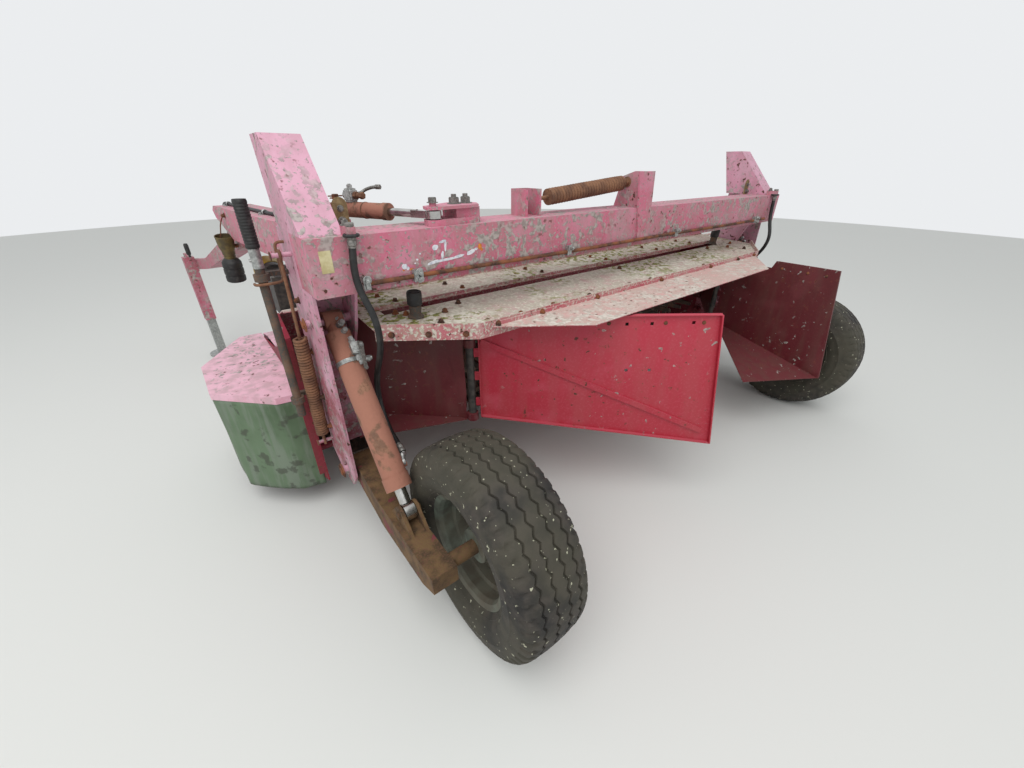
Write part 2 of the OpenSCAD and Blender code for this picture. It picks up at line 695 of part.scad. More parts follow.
// The left end of the front guard is fixed, and cut out round the gearbox column
module fixed_guard() {
    color("palevioletred") difference() {
        along_x(end_x + end_t + seat, guard_left - 8) polygon(folded([
            [front_beam_y + front_beam_s + seat, guard_hinge_z + 2], guard_line[1], guard_line[2],
            guard_line[3]], sheet_t));
        translate([beam_l / 2 + disc_x0, disc_y, 500]) cylinder(h = 300, r = 46);
    }
}
module side_guards() {
    for (s = [-1, 1]) side(s) side_guard();
    side(-1) fixed_guard();
}
curtain_top = guard_z - guard_rim - seat;
module curtain_profile() {
    y = front_edge_y - 20 + sheet_t / 2 + seat;
    polygon([[y, curtain_top], [y + curtain_t, curtain_top], [y + curtain_t, curtain_bottom],
             [y, curtain_bottom]]);
}
module side_curtain() {
    color("slategray") translate([0, 0, curtain_bottom]) linear_extrude(curtain_top - curtain_bottom)
        polygon(folded([guard_plan[0] + [-2, 6], guard_plan[1], guard_plan[2], guard_plan[3],
                        guard_plan[4] + [0, -8], guard_plan[5] + [-0.7, -8]], curtain_t));
}
module side_curtains() {
    for (s = [-1, 1]) side(s) side_curtain();
    color("slategray") side(-1) along_x(end_x + end_t + seat, guard_left - 8) curtain_profile();
}

// Hinged front guard and its canvas
guard_line = [[guard_hinge_y + 24, guard_hinge_z + 4], [1180, 694], [front_edge_y - 20, 650],
              [front_edge_y - 20, 610]];
module front_guard() {
    color("palevioletred") translate([left_x, 0, 0]) {
        along_x(guard_left, guard_right) polygon(folded(guard_line, sheet_t));
        rod_x(guard_left, guard_right, guard_hinge_y, guard_hinge_z, guard_hinge_r);
        for (x = guard_hinges) along_x(x + 60, x + 160)
            polygon([[guard_hinge_y, guard_hinge_z - 6], [guard_hinge_y + 30, guard_hinge_z + 2],
                     [guard_hinge_y + 30, guard_hinge_z + 6], [guard_hinge_y, guard_hinge_z + 6]]);
    }
}
module front_curtain() {
    color("slategray") translate([left_x, 0, 0])
        along_x(guard_left + 4, guard_right - 4) curtain_profile();
}

// Swath board: folded sheet with a stiffening rib, turned about its upright hinge rod
board_top = 994;
board_low = 950;
board_foot = 343;
board_root = 516;
board_rake = 95;
board_step = 318;
board_edge = 36;
board_lip = 20;
hinge_r = 16;
lug_z = [500, 860];
lug_h = 34;
// Square holes along the board's top and middle: distance from the hinge, height
board_holes = [[652, 951], [756, 952], [929, 955], [677, 739], [779, 738]];
// Inner corner of the floor plate: distance from the hinge, distance inwards, height
floor_corner = [530, 464, 360];
module flat_rib(p, q, w, deep) {
    d = q - p;
    translate([p[0], 0, p[1]]) rotate([0, -atan2(d[1], d[0]), 0])
        translate([0, -deep, -w / 2]) cube([norm(d), deep, w]);
}
// Height of the line p to q at a distance from the hinge
function lerp(p, q, at) = p[1] + (q[1] - p[1]) * (at - p[0]) / (q[0] - p[0]);
module floor_plate(a, b, c) {
    up = [0, 0, 3];
    polyhedron(points = [a, b, c, a + up, b + up, c + up],
               faces = [[0, 1, 2], [5, 4, 3], [0, 3, 4, 1], [1, 4, 5, 2], [2, 5, 3, 0]]);
}
module swath_board(turn, board_l) {
    foot_l = board_l + board_rake;
    root = [board_edge, board_root];
    foot = [foot_l, board_foot];
    translate([hinge_x, hinge_y, 0]) rotate(-90 + turn) color("crimson") {
        difference() {
            upright() polygon([root, [board_edge, board_low], [board_step, board_low],
                               [board_step + 18, board_top], [board_l, board_top], foot]);
            for (h = board_holes) if (h[0] < board_l - 30)
                translate([h[0] - 7, -10, h[1] - 7]) cube([14, 20, 14]);
        }
        flat_rib([foot_l - 5, board_foot + 3], [board_l - 5, board_top - 2], 6, board_lip);
        flat_rib(foot + [-4, 4], root + [4, 4], 5, board_lip - 1);
        flat_rib([board_edge + 4, board_root + 3], [board_edge + 4, board_low - 3], 4, board_lip - 2);
        translate([board_step + 24, 3 - board_lip, board_top - 5])
            cube([board_l - board_step - 30, board_lip - 3, 4]);
        flat_rib([board_edge + 12, 884], [foot_l - 58, 416], 24, 12);
        floor_plate([board_edge + 10, 0.5, lerp(root, foot, board_edge + 10) - 1],
                    [foot_l - 8, 0.5, lerp(root, foot, foot_l - 8) - 1], floor_corner);
        translate([0, 0, board_root - 18]) cylinder(h = board_low - board_root + 18, r = hinge_r);
        for (z = [570, 700, 810]) translate([0, -3, z]) cube([board_edge + 2, 6, 40]);
    }
}

// Drawbar, drawn straight ahead from its pivot and then turned
tongue_w = 110;
box_w = 180;
swing_base = [111, 88];
swing_pin_r = 12;
module on_drawbar() {
    translate([left_x + pivot_in, pivot_fwd, 0]) rotate(drawbar_yaw) children();
}
jack_y = 2700;
jack_x = -tongue_w / 2 - 42;
module drawbar() {
    color("palevioletred") on_drawbar() difference() {
        union() {
            for (z = [drawbar_bottom, drawbar_top - fork_t]) translate([0, 0, z]) linear_extrude(fork_t) {
                circle(r = fork_r);
                polygon([[-fork_r, 0], [fork_r, 0], [box_w / 2, 110], [-box_w / 2, 110]]);
            }
            along_x(-box_w / 2, box_w / 2) polygon([
                [100, drawbar_bottom], [100, drawbar_top], [1190, drawbar_top], [1230, drawbar_top - 24],
                [1200, drawbar_top - 60], [950, drawbar_bottom]]);
            along_x(-tongue_w / 2, tongue_w / 2) polygon([
                [820, drawbar_bottom + 2], [820, drawbar_bottom + 80], [1000, drawbar_bottom + 80],
                [1230, 1190], [2230, 905], [drawbar_reach - 90, hitch_z + 45],
                [drawbar_reach - 90, hitch_z - 45], [2230, 830], [1230, 1090],
                [1000, drawbar_bottom - 50], [900, drawbar_bottom + 2]]);
            translate([0, 0, drawbar_top - 12]) linear_extrude(12) polygon([
                [60, 40], [swing_base[0] + 10, swing_base[1] - 44], [swing_base[0] + 46, swing_base[1]],
                [swing_base[0] + 10, swing_base[1] + 50], [60, 170]]);
            translate([swing_base[0], swing_base[1], drawbar_top - 12])
                cylinder(h = swing_z + 36 - drawbar_top + 12, r = swing_pin_r);
        }
        translate([0, 0, drawbar_bottom - 10]) cylinder(h = 200, r = pivot_pin_r + fit);
    }
}
module hitch_eye() {
    color("dimgray") on_drawbar() difference() {
        union() {
            translate([0, drawbar_reach, hitch_z - 15]) cylinder(h = 30, r = hitch_eye_r);
            translate([-30, drawbar_reach - 90 + seat, hitch_z - 15]) cube([60, 90, 30]);
            translate([-tongue_w / 2, drawbar_reach - 90 + seat, hitch_z - 45]) cube([tongue_w, 16, 90]);
        }
        translate([0, drawbar_reach, hitch_z - 50]) cylinder(h = 100, r = hitch_d / 2);
    }
}

// Parking jack: square sleeve on the drawbar and a leg that slides in it
jack_out = 76;
jack_in = 62;
jack_foot_h = 12;
jack_low = 330;
jack_top = 860;
jack_leg_top = 446;
module jack_sleeve() {
    gap = jack_in + 2 * seat;
    color("palevioletred") on_drawbar() translate([jack_x, jack_y, 0]) {
        difference() {
            translate([-jack_out / 2, -jack_out / 2, jack_low]) cube([jack_out, jack_out, jack_top - jack_low]);
            translate([-gap / 2, -gap / 2, jack_low - 10]) cube([gap, gap, jack_top - jack_low + 8]);
        }
        translate([jack_out / 2 - 1, -50, 745])
            cube([-tongue_w / 2 - seat - jack_x - jack_out / 2 + 1, 100, 100]);
        translate([0, 0, jack_top - 1]) cylinder(h = 31, r = 22);
        translate([0, 25, jack_top + 16]) rotate([90, 0, 0]) cylinder(h = 155, r = 8);
    }
}
module jack_leg() {
    color("silver") on_drawbar() translate([jack_x, jack_y, 0]) {
        translate([-jack_in / 2, -jack_in / 2, 6]) cube([jack_in, jack_in, jack_leg_top - 6]);
        cylinder(h = jack_foot_h, r = 100);
    }
}

// Short end of the drive shaft, hung beside the drawbar
module drive_shaft() {
    p = [-107, 1092, 1010];
    q = [-110, 1062, 1178];
    d = (q - p) / norm(q - p);
    color("gold") on_drawbar() {
        bar(p, q, 27);
        bar(p - d * 60, p + d * 70, 48);
        bar(q - d * 70, q + d * 20, 42);
        rod_x(-109, -tongue_w / 2 - seat, 1069, 1140, 10);
    }
}

// Swing cylinder between the drawbar and the beam, along the line between its two pins
swing_d = 56;
swing_rod_d = 28;
swing_eye_r = 28;
swing_from = [pivot_in + swing_base[0] * cos(drawbar_yaw) - swing_base[1] * sin(drawbar_yaw),
              pivot_fwd + swing_base[0] * sin(drawbar_yaw) + swing_base[1] * cos(drawbar_yaw)];
swing_dir = swing_pin - swing_from;
swing_len = norm(swing_dir);
swing_body = swing_len - 198;
swing_eye_gap = 5.5;
module on_swing_line() {
    translate([left_x + swing_from[0], swing_from[1], swing_z])
        rotate(atan2(swing_dir[1], swing_dir[0])) children();
}
module swing_barrel() {
    color("chocolate") on_swing_line() difference() {
        union() {
            translate([0, 0, -22]) cylinder(h = 44, r = 26);
            rotate([0, 90, 0]) translate([0, 0, 15]) cylinder(h = swing_body - 15, r = swing_d / 2);
            rotate([0, 90, 0]) translate([0, 0, swing_body - 26]) cylinder(h = 26, r = swing_d / 2 + 2);
        }
        translate([0, 0, -50]) cylinder(h = 100, r = swing_pin_r + fit);
        rotate([0, 90, 0]) translate([0, 0, 34]) cylinder(h = swing_body - 50, r = swing_d / 2 - 6);
        rotate([0, 90, 0]) translate([0, 0, 30]) cylinder(h = swing_body, r = swing_rod_d / 2 + fit);
    }
}
module swing_rod() {
    color("lightgray") on_swing_line() difference() {
        union() {
            rotate([0, 90, 0]) translate([0, 0, swing_len - 310]) cylinder(h = 240, r = swing_rod_d / 2);
            translate([swing_len - 86, -17, -swing_eye_h / 2]) cube([80, 34, swing_eye_h]);
            translate([swing_len, 0, -swing_eye_h / 2]) cylinder(h = swing_eye_h, r = swing_eye_r);
        }
        translate([swing_len, 0, -50]) cylinder(h = 100, r = swing_pin_r + swing_eye_gap);
    }
}

// Hoses as plain tubes along their routes. A lift hose hangs down behind the beam's end and round
// to the port of its cylinder; the drawbar hose lies along the drawbar's top.
module tube(pts, r, sides = 8) {
    last = len(pts) - 1;
    rings = [for (i = [0:last])
        let (t = unit(pts[min(i + 1, last)] - pts[max(i - 1, 0)]),
             a = unit(cross(t, [1, 0.03, 0.05])), b = cross(t, a))
        each [for (k = [0:sides - 1]) pts[i] + r * (a * cos(360 * k / sides) + b * sin(360 * k / sides))]];
    polyhedron(points = rings, convexity = 6, faces = concat(
        [[for (k = [0:sides - 1]) k]],
        [for (i = [0:last - 1]) for (k = [0:sides - 1])
         let (p = i * sides + k, q = i * sides + (k + 1) % sides)
         each [[p, q + sides, q], [p, p + sides, q + sides]]],
        [[for (k = [sides - 1:-1:0]) last * sides + k]]));
}
module lift_hose() {
    color("dimgray") tube(lift_hose, hose_r);
}
drawbar_hose_r = 8;
// Drawn with the drawbar straight ahead from its pivot
drawbar_hose = [
    [60, 236, 1342.5], [30, 262, 1342.5], [4, 296, 1342.5], [-14, 336, 1342.5], [-24, 382, 1342.5],
    [-28, 430, 1342.5], [-30, 490, 1342.5], [-31, 550, 1342.5], [-31, 620, 1342.5], [-30, 700, 1342.5],
    [-29, 780, 1342.5], [-28, 860, 1342.5], [-27, 940, 1342.5], [-26, 1020, 1342.5], [-26, 1100, 1342.5],
    [-26, 1160, 1342.5], [-26, 1200, 1342.5], [-26, 1236, 1334], [-26, 1262, 1314], [-26, 1284, 1285],
    [-26, 1296, 1254], [-26, 1306, 1222], [-26, 1322, 1194], [-26, 1344, 1173], [-26, 1372, 1160],
    [-26, 1402, 1151], [-26, 1436, 1141.5]
];
module hose_drawbar() {
    color("dimgray") on_drawbar() tube(drawbar_hose, drawbar_hose_r);
}

placed() cross_beam();
placed() side(-1) leg();  // leg_left
placed() side(1) leg();  // leg_right
placed() beam_fittings();
placed() beam_spring();
placed() float_springs();
placed() pivot_bracket();
placed() prop_pole();
placed() side(-1) arm();  // arm_left
placed() side(1) arm();  // arm_right
placed() side(-1) rim();  // rim_left
placed() side(1) rim();  // rim_right
placed() side(-1) tyre();  // tyre_left
placed() side(1) tyre();  // tyre_right
placed() side(-1) lift_barrel();  // lift_barrel_left
placed() side(1) lift_barrel();  // lift_barrel_right
placed() side(-1) lift_rod();  // lift_rod_left
placed() side(1) lift_rod();  // lift_rod_right
placed() end_plates();
placed() header_links();
placed() front_beam();
placed() hood();
placed() deck();
placed() wing_panels();
placed() rear_flap();
placed() cutter_bar();
placed() disc(0);  // disc_1
placed() disc(1);  // disc_2
placed() disc(2);  // disc_3
placed() disc(3);  // disc_4
placed() disc(4);  // disc_5
placed() disc(5);  // disc_6
placed() disc(6);  // disc_7
placed() rotor();
placed() gearbox();
placed() shaft_guard();
placed() side_guards();
placed() front_guard();
placed() side_curtains();
placed() front_curtain();
placed() side(-1) swath_board(board_left_turn, board_left_l);  // swath_board_left
placed() side(1) swath_board(board_right_turn, board_right_l);  // swath_board_right
placed() drawbar();
placed() hitch_eye();
placed() jack_sleeve();
placed() jack_leg();
placed() drive_shaft();
placed() swing_barrel();
placed() swing_rod();
placed() side(-1) lift_hose();  // hose_left
placed() side(1) lift_hose();  // hose_right
placed() hose_drawbar();
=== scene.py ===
# %% [markdown]
# # A trailed mower conditioner in faded paint
#
# This machine cuts grass with seven spinning discs and crimps it with a tined rotor. It stands
# lowered on its skids and has been left outdoors for years, so its red paint has gone pink, and
# lichen, rust and dust cover it. The steelwork comes as a finished frame of solids. Here it gets
# its finishes, its canvas, its hoses and the small parts that a solid model leaves out.

# %% Load the frame
import math
import random

import bmesh
import bpy
from mathutils import Matrix, Vector


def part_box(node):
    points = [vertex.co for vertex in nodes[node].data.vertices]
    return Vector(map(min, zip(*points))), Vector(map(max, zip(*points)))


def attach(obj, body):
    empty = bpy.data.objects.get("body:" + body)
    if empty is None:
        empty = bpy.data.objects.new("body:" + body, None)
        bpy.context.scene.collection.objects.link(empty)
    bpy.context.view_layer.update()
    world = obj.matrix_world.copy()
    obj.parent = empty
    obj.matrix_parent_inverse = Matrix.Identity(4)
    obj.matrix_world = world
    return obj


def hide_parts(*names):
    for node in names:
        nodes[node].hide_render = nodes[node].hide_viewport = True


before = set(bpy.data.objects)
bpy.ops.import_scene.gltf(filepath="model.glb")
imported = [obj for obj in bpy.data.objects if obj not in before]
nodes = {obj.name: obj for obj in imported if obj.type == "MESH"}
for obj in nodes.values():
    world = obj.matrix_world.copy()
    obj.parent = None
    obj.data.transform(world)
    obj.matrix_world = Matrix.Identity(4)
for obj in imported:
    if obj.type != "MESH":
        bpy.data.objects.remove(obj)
# every random draw below starts from this seed, so each run gives the same machine
random.seed(3)
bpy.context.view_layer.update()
beam_low, beam_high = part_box("cross_beam")

# %% [markdown]
# ## The camera
#
# The photograph was taken with a wide lens from head height, behind the left wheel, looking down
# along the machine. A camera could be aimed by eye, but here its place and pitch come from
# measured edges, so they are plain numbers. A lens of 14 mm on a 36 mm sensor has that wide view.

# %% Camera
camera_data = bpy.data.cameras.new("camera")
camera_data.lens = 14.13
camera_data.sensor_width = 36
camera_data.clip_start = 0.05
camera = bpy.data.objects.new("camera", camera_data)
bpy.context.collection.objects.link(camera)
camera.location = (-1.879, -2.754, 1.5265)
PITCH_DOWN = 28.6
HEADING = (0.622, 0.783)
camera.rotation_euler = (math.radians(90 - PITCH_DOWN), 0, -math.atan2(*HEADING))
bpy.context.scene.camera = camera
bpy.context.scene.view_settings.view_transform = "Standard"

# %% [markdown]
# ## Light and floor
#
# The day was overcast, so the light comes softly from the whole sky and shadows are weak. A pale
# world gives that, with one wide lamp above for a hint of direction. The floor is a plain pale
# disc. What the camera sees directly is painted lighter than what lights the machine, because
# paint a shade too bright would lose its lichen.

# %% Small helper for node trees
def node(tree, kind, links=(), **settings):
    """Adds a node, sets its inputs and properties, and links other sockets into it."""
    n = tree.nodes.new(kind)
    for key, value in settings.items():
        if key.startswith("in_"):
            name = key[3:].replace("_", " ")
            socket = n.inputs[int(name)] if name.isdigit() else n.inputs[name]
            socket.default_value = value
        else:
            setattr(n, key, value)
    for socket, source in links:
        tree.links.new(source, n.inputs[socket])
    return n


def colour(text):
    """An sRGB hex colour as the linear RGBA that Blender works with."""
    parts = [int(text[i : i + 2], 16) / 255 for i in (1, 3, 5)]
    return [c / 12.92 if c < 0.04045 else ((c + 0.055) / 1.055) ** 2.4 for c in parts] + [1]


# %% World and lamp
world = bpy.data.worlds.new("overcast sky")
bpy.context.scene.world = world
world.use_nodes = True
sky = world.node_tree
sky.nodes.clear()
rays = node(sky, "ShaderNodeLightPath")
seen = node(sky, "ShaderNodeMath", operation="MAXIMUM",
            links=[(0, rays.outputs["Is Camera Ray"]), (1, rays.outputs["Is Glossy Ray"])])
strength = node(sky, "ShaderNodeMapRange", in_To_Min=0.78, in_To_Max=0.92,
                links=[("Value", seen.outputs[0])])
air = node(sky, "ShaderNodeBackground", in_Color=colour("#f4f6f8"),
           links=[("Strength", strength.outputs[0])])
node(sky, "ShaderNodeOutputWorld", links=[("Surface", air.outputs[0])])

lamp_data = bpy.data.lights.new("bright cloud", "AREA")
lamp_data.shape = "DISK"
lamp_data.size = 6
lamp_data.energy = 260
lamp = bpy.data.objects.new("bright cloud", lamp_data)
bpy.context.collection.objects.link(lamp)
lamp.location = (-3.5, -3.5, 6)
lamp.rotation_euler = (math.radians(38), 0, math.radians(-45))

# %% Floor
def new_object(name, bm, material=None, body=None):
    """Turns a bmesh into an object at the origin, its place in its mesh, that rides on a body."""
    mesh = bpy.data.meshes.new(name)
    bm.normal_update()
    bm.to_mesh(mesh)
    bm.free()
    o = bpy.data.objects.new(name, mesh)
    bpy.context.collection.objects.link(o)
    if material:
        mesh.materials.append(material)
    if body:
        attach(o, body)
    return o


floor_bm = bmesh.new()
bmesh.ops.create_circle(floor_bm, cap_ends=True, segments=96, radius=14)
bmesh.ops.translate(floor_bm, vec=(0, 0, -0.001), verts=floor_bm.verts)
floor_paint = bpy.data.materials.new("pale floor")
floor_paint.use_nodes = True
floor_inputs = floor_paint.node_tree.nodes["Principled BSDF"].inputs
floor_inputs["Base Color"].default_value = colour("#d9dad6")
floor_inputs["Roughness"].default_value = 0.9
floor = new_object("floor", floor_bm, floor_paint)

# %% [markdown]
# ## How old paint is built up
#
# Enamel left outdoors chalks: the binder goes, the red turns to a dull pink, and it goes first on
# faces that look at the sky. Over it come rust, where chips let water in, lichen in pale rosettes
# one to four centimetres wide, and dust. An image could carry all that, but it would fix the
# pattern to one piece. Noise on each piece's own coordinates, cut at a threshold, gives patches
# whose size is set in millimetres and which suit every panel.

# %% Patches of a stated size
def new_material(name):
    m = bpy.data.materials.new(name)
    m.use_nodes = True
    m.node_tree.nodes.clear()
    return m, m.node_tree


def patches(tree, where, size_mm, cut, soft=0.05, detail=4, distortion=0.0, offset=(0, 0, 0)):
    """A mask of 0 to 1: noise with patches about size_mm wide, kept where it is above cut."""
    moved = node(tree, "ShaderNodeMapping", in_Location=offset, links=[("Vector", where)])
    noise = node(tree, "ShaderNodeTexNoise", in_Scale=1000 / size_mm, in_Detail=detail,
                 in_Distortion=distortion, links=[("Vector", moved.outputs[0])])
    kept = node(tree, "ShaderNodeMapRange", interpolation_type="SMOOTHSTEP",
                in_From_Min=cut - soft, in_From_Max=cut + soft,
                links=[("Value", noise.outputs[0])])
    return kept.outputs[0]


def mixed(tree, mask, below, above, amount=1.0):
    """Paints above over below where the mask is 1. Either may be a hex colour or a socket."""
    share = node(tree, "ShaderNodeMath", operation="MULTIPLY", in_1=amount, links=[(0, mask)])
    mix = node(tree, "ShaderNodeMix", data_type="RGBA", links=[(0, share.outputs[0])])
    for socket, value in ((6, below), (7, above)):
        if isinstance(value, str):
            mix.inputs[socket].default_value = colour(value)
        else:
            tree.links.new(value, mix.inputs[socket])
    return mix.outputs[2]


def times(tree, a, b):
    return node(tree, "ShaderNodeMath", operation="MULTIPLY", links=[(0, a), (1, b)]).outputs[0]


def finish_with(tree, base, rough, bump=None, bump_mm=0.5, **sockets):
    """The surface shader, with a base colour, a roughness (number or socket) and a bump."""
    shader = node(tree, "ShaderNodeBsdfPrincipled")
    tree.links.new(base, shader.inputs["Base Color"])
    if isinstance(rough, float):
        shader.inputs["Roughness"].default_value = rough
    else:
        tree.links.new(rough, shader.inputs["Roughness"])
    for key, value in sockets.items():
        shader.inputs[key.replace("_", " ")].default_value = value
    if bump is not None:
        relief = node(tree, "ShaderNodeBump", in_Distance=bump_mm / 1000, in_Strength=0.8,
                      links=[("Height", bump)])
        tree.links.new(relief.outputs[0], shader.inputs["Normal"])
    node(tree, "ShaderNodeOutputMaterial", links=[("Surface", shader.outputs[0])])
    return shader


# %% Weathered enamel
def climb(tree, vector, axis, start, end, **settings):
    """A mask that climbs from 0 to 1 while a vector's part along an axis goes from start to end."""
    level = node(tree, "ShaderNodeSeparateXYZ", links=[(0, vector)]).outputs[axis]
    return node(tree, "ShaderNodeMapRange", in_From_Min=start, in_From_Max=end,
                links=[("Value", level)], **settings).outputs[0]


def larger(tree, a, b):
    return node(tree, "ShaderNodeMath", operation="MAXIMUM", links=[(0, a), (1, b)]).outputs[0]


def old_enamel(name, low, high, faded, fade_cut, lichen_cut, rust_cut, rise=(0.90, 1.25), dust="#8d8378",
               dust_share=0.35, dust_cut=0.52, moss_cut=None, grey=("#aaa59e", "#85837c"), side_chalk=1.0):
    """Alkyd enamel on steel after years outdoors. Paint near the ground keeps the colour low, darker as
    painted shade and because it faded less; above, over the heights in rise, it bleaches to high. Lower cuts
    give more wear.
    Upright faces keep the share side_chalk of the chalk, dust and lichen that faces to the sky have."""
    m, tree = new_material(name)
    where = node(tree, "ShaderNodeTexCoord").outputs["Object"]
    normal = node(tree, "ShaderNodeNewGeometry").outputs["Normal"]
    upward = climb(tree, normal, 2, -0.25, 0.9)
    # the low colour near the ground is painted shade as well as paint that faded less; it turns to the high
    # colour over the heights in rise
    lit_and_bleached = climb(tree, where, 2, *rise, interpolation_type="SMOOTHSTEP")
    kept = mixed(tree, lit_and_bleached, low, high)
    # chalking, in clouds a hand wide
    chalk = patches(tree, where, 170, fade_cut, soft=0.16, detail=6)
    share = node(tree, "ShaderNodeMapRange", in_To_Min=side_chalk, links=[("Value", upward)]).outputs[0]
    chalk_up = times(tree, larger(tree, chalk, upward), share)
    base = mixed(tree, chalk_up, kept, faded, 0.85)
    # lighter flecks, a few millimetres wide, where the film has gone to powder
    base = mixed(tree, patches(tree, where, 9, 0.58, 0.06, offset=(3, 1, 0)), base, faded, 0.35)
    # dust that rain left in streaks, 60 mm wide and long down the face
    streaked = node(tree, "ShaderNodeMapping", in_Scale=(1, 1, 0.18), links=[("Vector", where)])
    streaks = patches(tree, streaked.outputs[0], 60, dust_cut, 0.12, detail=5)
    base = mixed(tree, times(tree, streaks, share), base, dust, dust_share)
    # lichen in rosettes within colonies 300 mm wide
    colonies = patches(tree, where, 300, 0.47, 0.1, offset=(7, 2, 5))
    rosettes = patches(tree, where, 30, lichen_cut, 0.025, detail=8, distortion=0.4)
    crumbs = patches(tree, where, 11, lichen_cut + 0.09, 0.02, detail=6, offset=(1, 9, 2))
    lichen = larger(tree, times(tree, times(tree, rosettes, colonies), share), crumbs)
    tone = mixed(tree, patches(tree, where, 16, 0.5, 0.1), *grey)
    base = mixed(tree, lichen, base, tone, 0.9)
    if moss_cut:
        # moss holds on where water lies, mostly below the beam: yellow green, in cushions 10 to 40 mm wide
        beds = patches(tree, where, 420, 0.50, 0.06, detail=3, offset=(11, 3, 8))
        cushions = patches(tree, where, 30, moss_cut, 0.03, detail=7, offset=(6, 6, 6))
        near_beam = climb(tree, where, 1, beam_low[1] - 0.16, beam_low[1] + 0.02, in_To_Min=0.25)
        moss = times(tree, times(tree, times(tree, beds, cushions), upward), near_beam)
        moss_green = mixed(tree, patches(tree, where, 9, 0.5, 0.1), "#5d6224", "#8a8a3c")
        base = mixed(tree, moss, base, moss_green, 0.95)
    # rust in chips 5 to 20 mm wide, with a stain around each, in some places and not in others
    where_rusty = patches(tree, where, 380, 0.47, 0.12, offset=(2, 8, 1))
    chip_noise = {"size_mm": 26, "detail": 7, "offset": (4, 4, 1)}
    stain = times(tree, patches(tree, where, cut=rust_cut - 0.03, soft=0.05, **chip_noise), where_rusty)
    chips = times(tree, patches(tree, where, cut=rust_cut, soft=0.012, **chip_noise), where_rusty)
    base = mixed(tree, stain, base, "#8a4a35", 0.45)
    base = mixed(tree, chips, base, "#4a2a1e", 0.95)
    height = node(tree, "ShaderNodeMath", operation="SUBTRACT", links=[(0, lichen), (1, chips)])
    rough = node(tree, "ShaderNodeMapRange", in_To_Min=0.42, in_To_Max=0.85,
                 links=[("Value", chalk_up)]).outputs[0]
    finish_with(tree, base, rough, height.outputs[0], 1.2)
    return m


# each enamel's first colour is its paint low down, darker partly as painted shade, and its second its paint
# high up
beam_enamel = old_enamel("enamel on the beam", "#a83f58", "#c25f78", "#c98a9b", 0.53, 0.53, 0.66,
                         rise=(1.14, 1.30))
# on the legs the deep red low down is mostly painted shade, where their lower part stands in shadow
leg_enamel = old_enamel("enamel on the legs", "#84091f", "#cb8ca2", "#d2a6b7", 0.54, 0.56, 0.655,
                        rise=(0.70, 1.16), dust="#8a6d68", dust_share=0.2)
# painted shade: a darker copy of the red enamel for the end plates, header links and front beam, which stand
# in shadow
shade_dark_enamel = old_enamel("enamel darkened as painted shade", "#741020", "#8a1c30", "#9c2c42", 0.58, 0.66, 0.65,
                         dust="#5c3c36")
shaded_enamel = old_enamel("enamel in the shade", "#560f19", "#571d21", "#6a2a2e", 0.60, 0.67, 0.67,
                           rise=(0.55, 0.90), dust="#5b4238", dust_share=0.3)
board_enamel = old_enamel("enamel on the boards", "#a8162b", "#b3243a", "#bb4a5a", 0.60, 0.69, 0.68,
                          rise=(0.5, 1.0), dust="#9a6660", dust_share=0.14)
deck_enamel = old_enamel("enamel on the deck", "#b03a52", "#be5068", "#c0a8a2", 0.42, 0.46, 0.66,
                         dust="#b4b09f", dust_share=0.75, dust_cut=0.45, moss_cut=0.53,
                         grey=("#d6d2c4", "#bdb9a8"), side_chalk=0.15)
flap_enamel = old_enamel("enamel on the flap", "#b03a52", "#c0566c", "#cfaea6", 0.46, 0.50, 0.66,
                         dust="#b5a99c", dust_share=0.5, dust_cut=0.45,
                         grey=("#d2cdc2", "#b9b2a6"), side_chalk=0.1)
guard_enamel = old_enamel("enamel on the guards", "#cf7f96", "#cf8ba0", "#e8bfcd", 0.40, 0.60, 0.68)
print("enamels:", [m.name for m in bpy.data.materials if "enamel" in m.name])

# %% [markdown]
# ## Rust, zinc and chrome
#
# Bare steel here has three looks. Mild steel has rusted through: a dry brown with orange bloom,
# and no gloss at all. Fittings and clamps were hot dip galvanised, so they stay a dull blue grey
# with pale spangles. The cylinder rods are hard chromed and ground, so they are still bright.

# %% Rust
def rusted_steel(name, dark="#3d2a22", bloom="#8a5232", bloom_cut=0.5, paint=None, paint_cut=0.6):
    """Mild steel with a dry crust of rust, and what is left of its paint."""
    m, tree = new_material(name)
    where = node(tree, "ShaderNodeTexCoord").outputs["Object"]
    base = mixed(tree, patches(tree, where, 55, bloom_cut, 0.14, detail=8), dark, bloom)
    base = mixed(tree, patches(tree, where, 7, 0.56, 0.1, detail=5), base, "#6b4a38", 0.6)
    crust = patches(tree, where, 12, 0.5, 0.2, detail=8)
    if paint:
        left = patches(tree, where, 80, paint_cut, 0.03, detail=9, distortion=0.3, offset=(5, 5, 5))
        base = mixed(tree, left, base, paint, 0.95)
    finish_with(tree, base, 0.88, crust, 0.9)
    return m


brown_rust = rusted_steel("rusted mild steel")
arm_steel = rusted_steel("rusted arm with old paint", "#483724", "#6e5536", 0.48, "#73353a", 0.64)
cylinder_paint = rusted_steel("orange primer over rust", "#6e5242", "#946c56", 0.5, "#9c6a58", 0.46)
spring_rust = rusted_steel("rusted spring wire", "#5e4132", "#866046", 0.47)
worn_steel = rusted_steel("worn blade steel", "#4a4641", "#6e5a4a", 0.56)


# %% Zinc, chrome and iron
def plain_metal(name, tone, pale, grain_mm, rough, metallic):
    """A metal whose tone changes in grains of a stated size."""
    m, tree = new_material(name)
    where = node(tree, "ShaderNodeTexCoord").outputs["Object"]
    grain = patches(tree, where, grain_mm, 0.5, 0.15, detail=3)
    base = mixed(tree, grain, tone, pale)
    finish_with(tree, base, rough, grain, 0.1, Metallic=metallic)
    return m


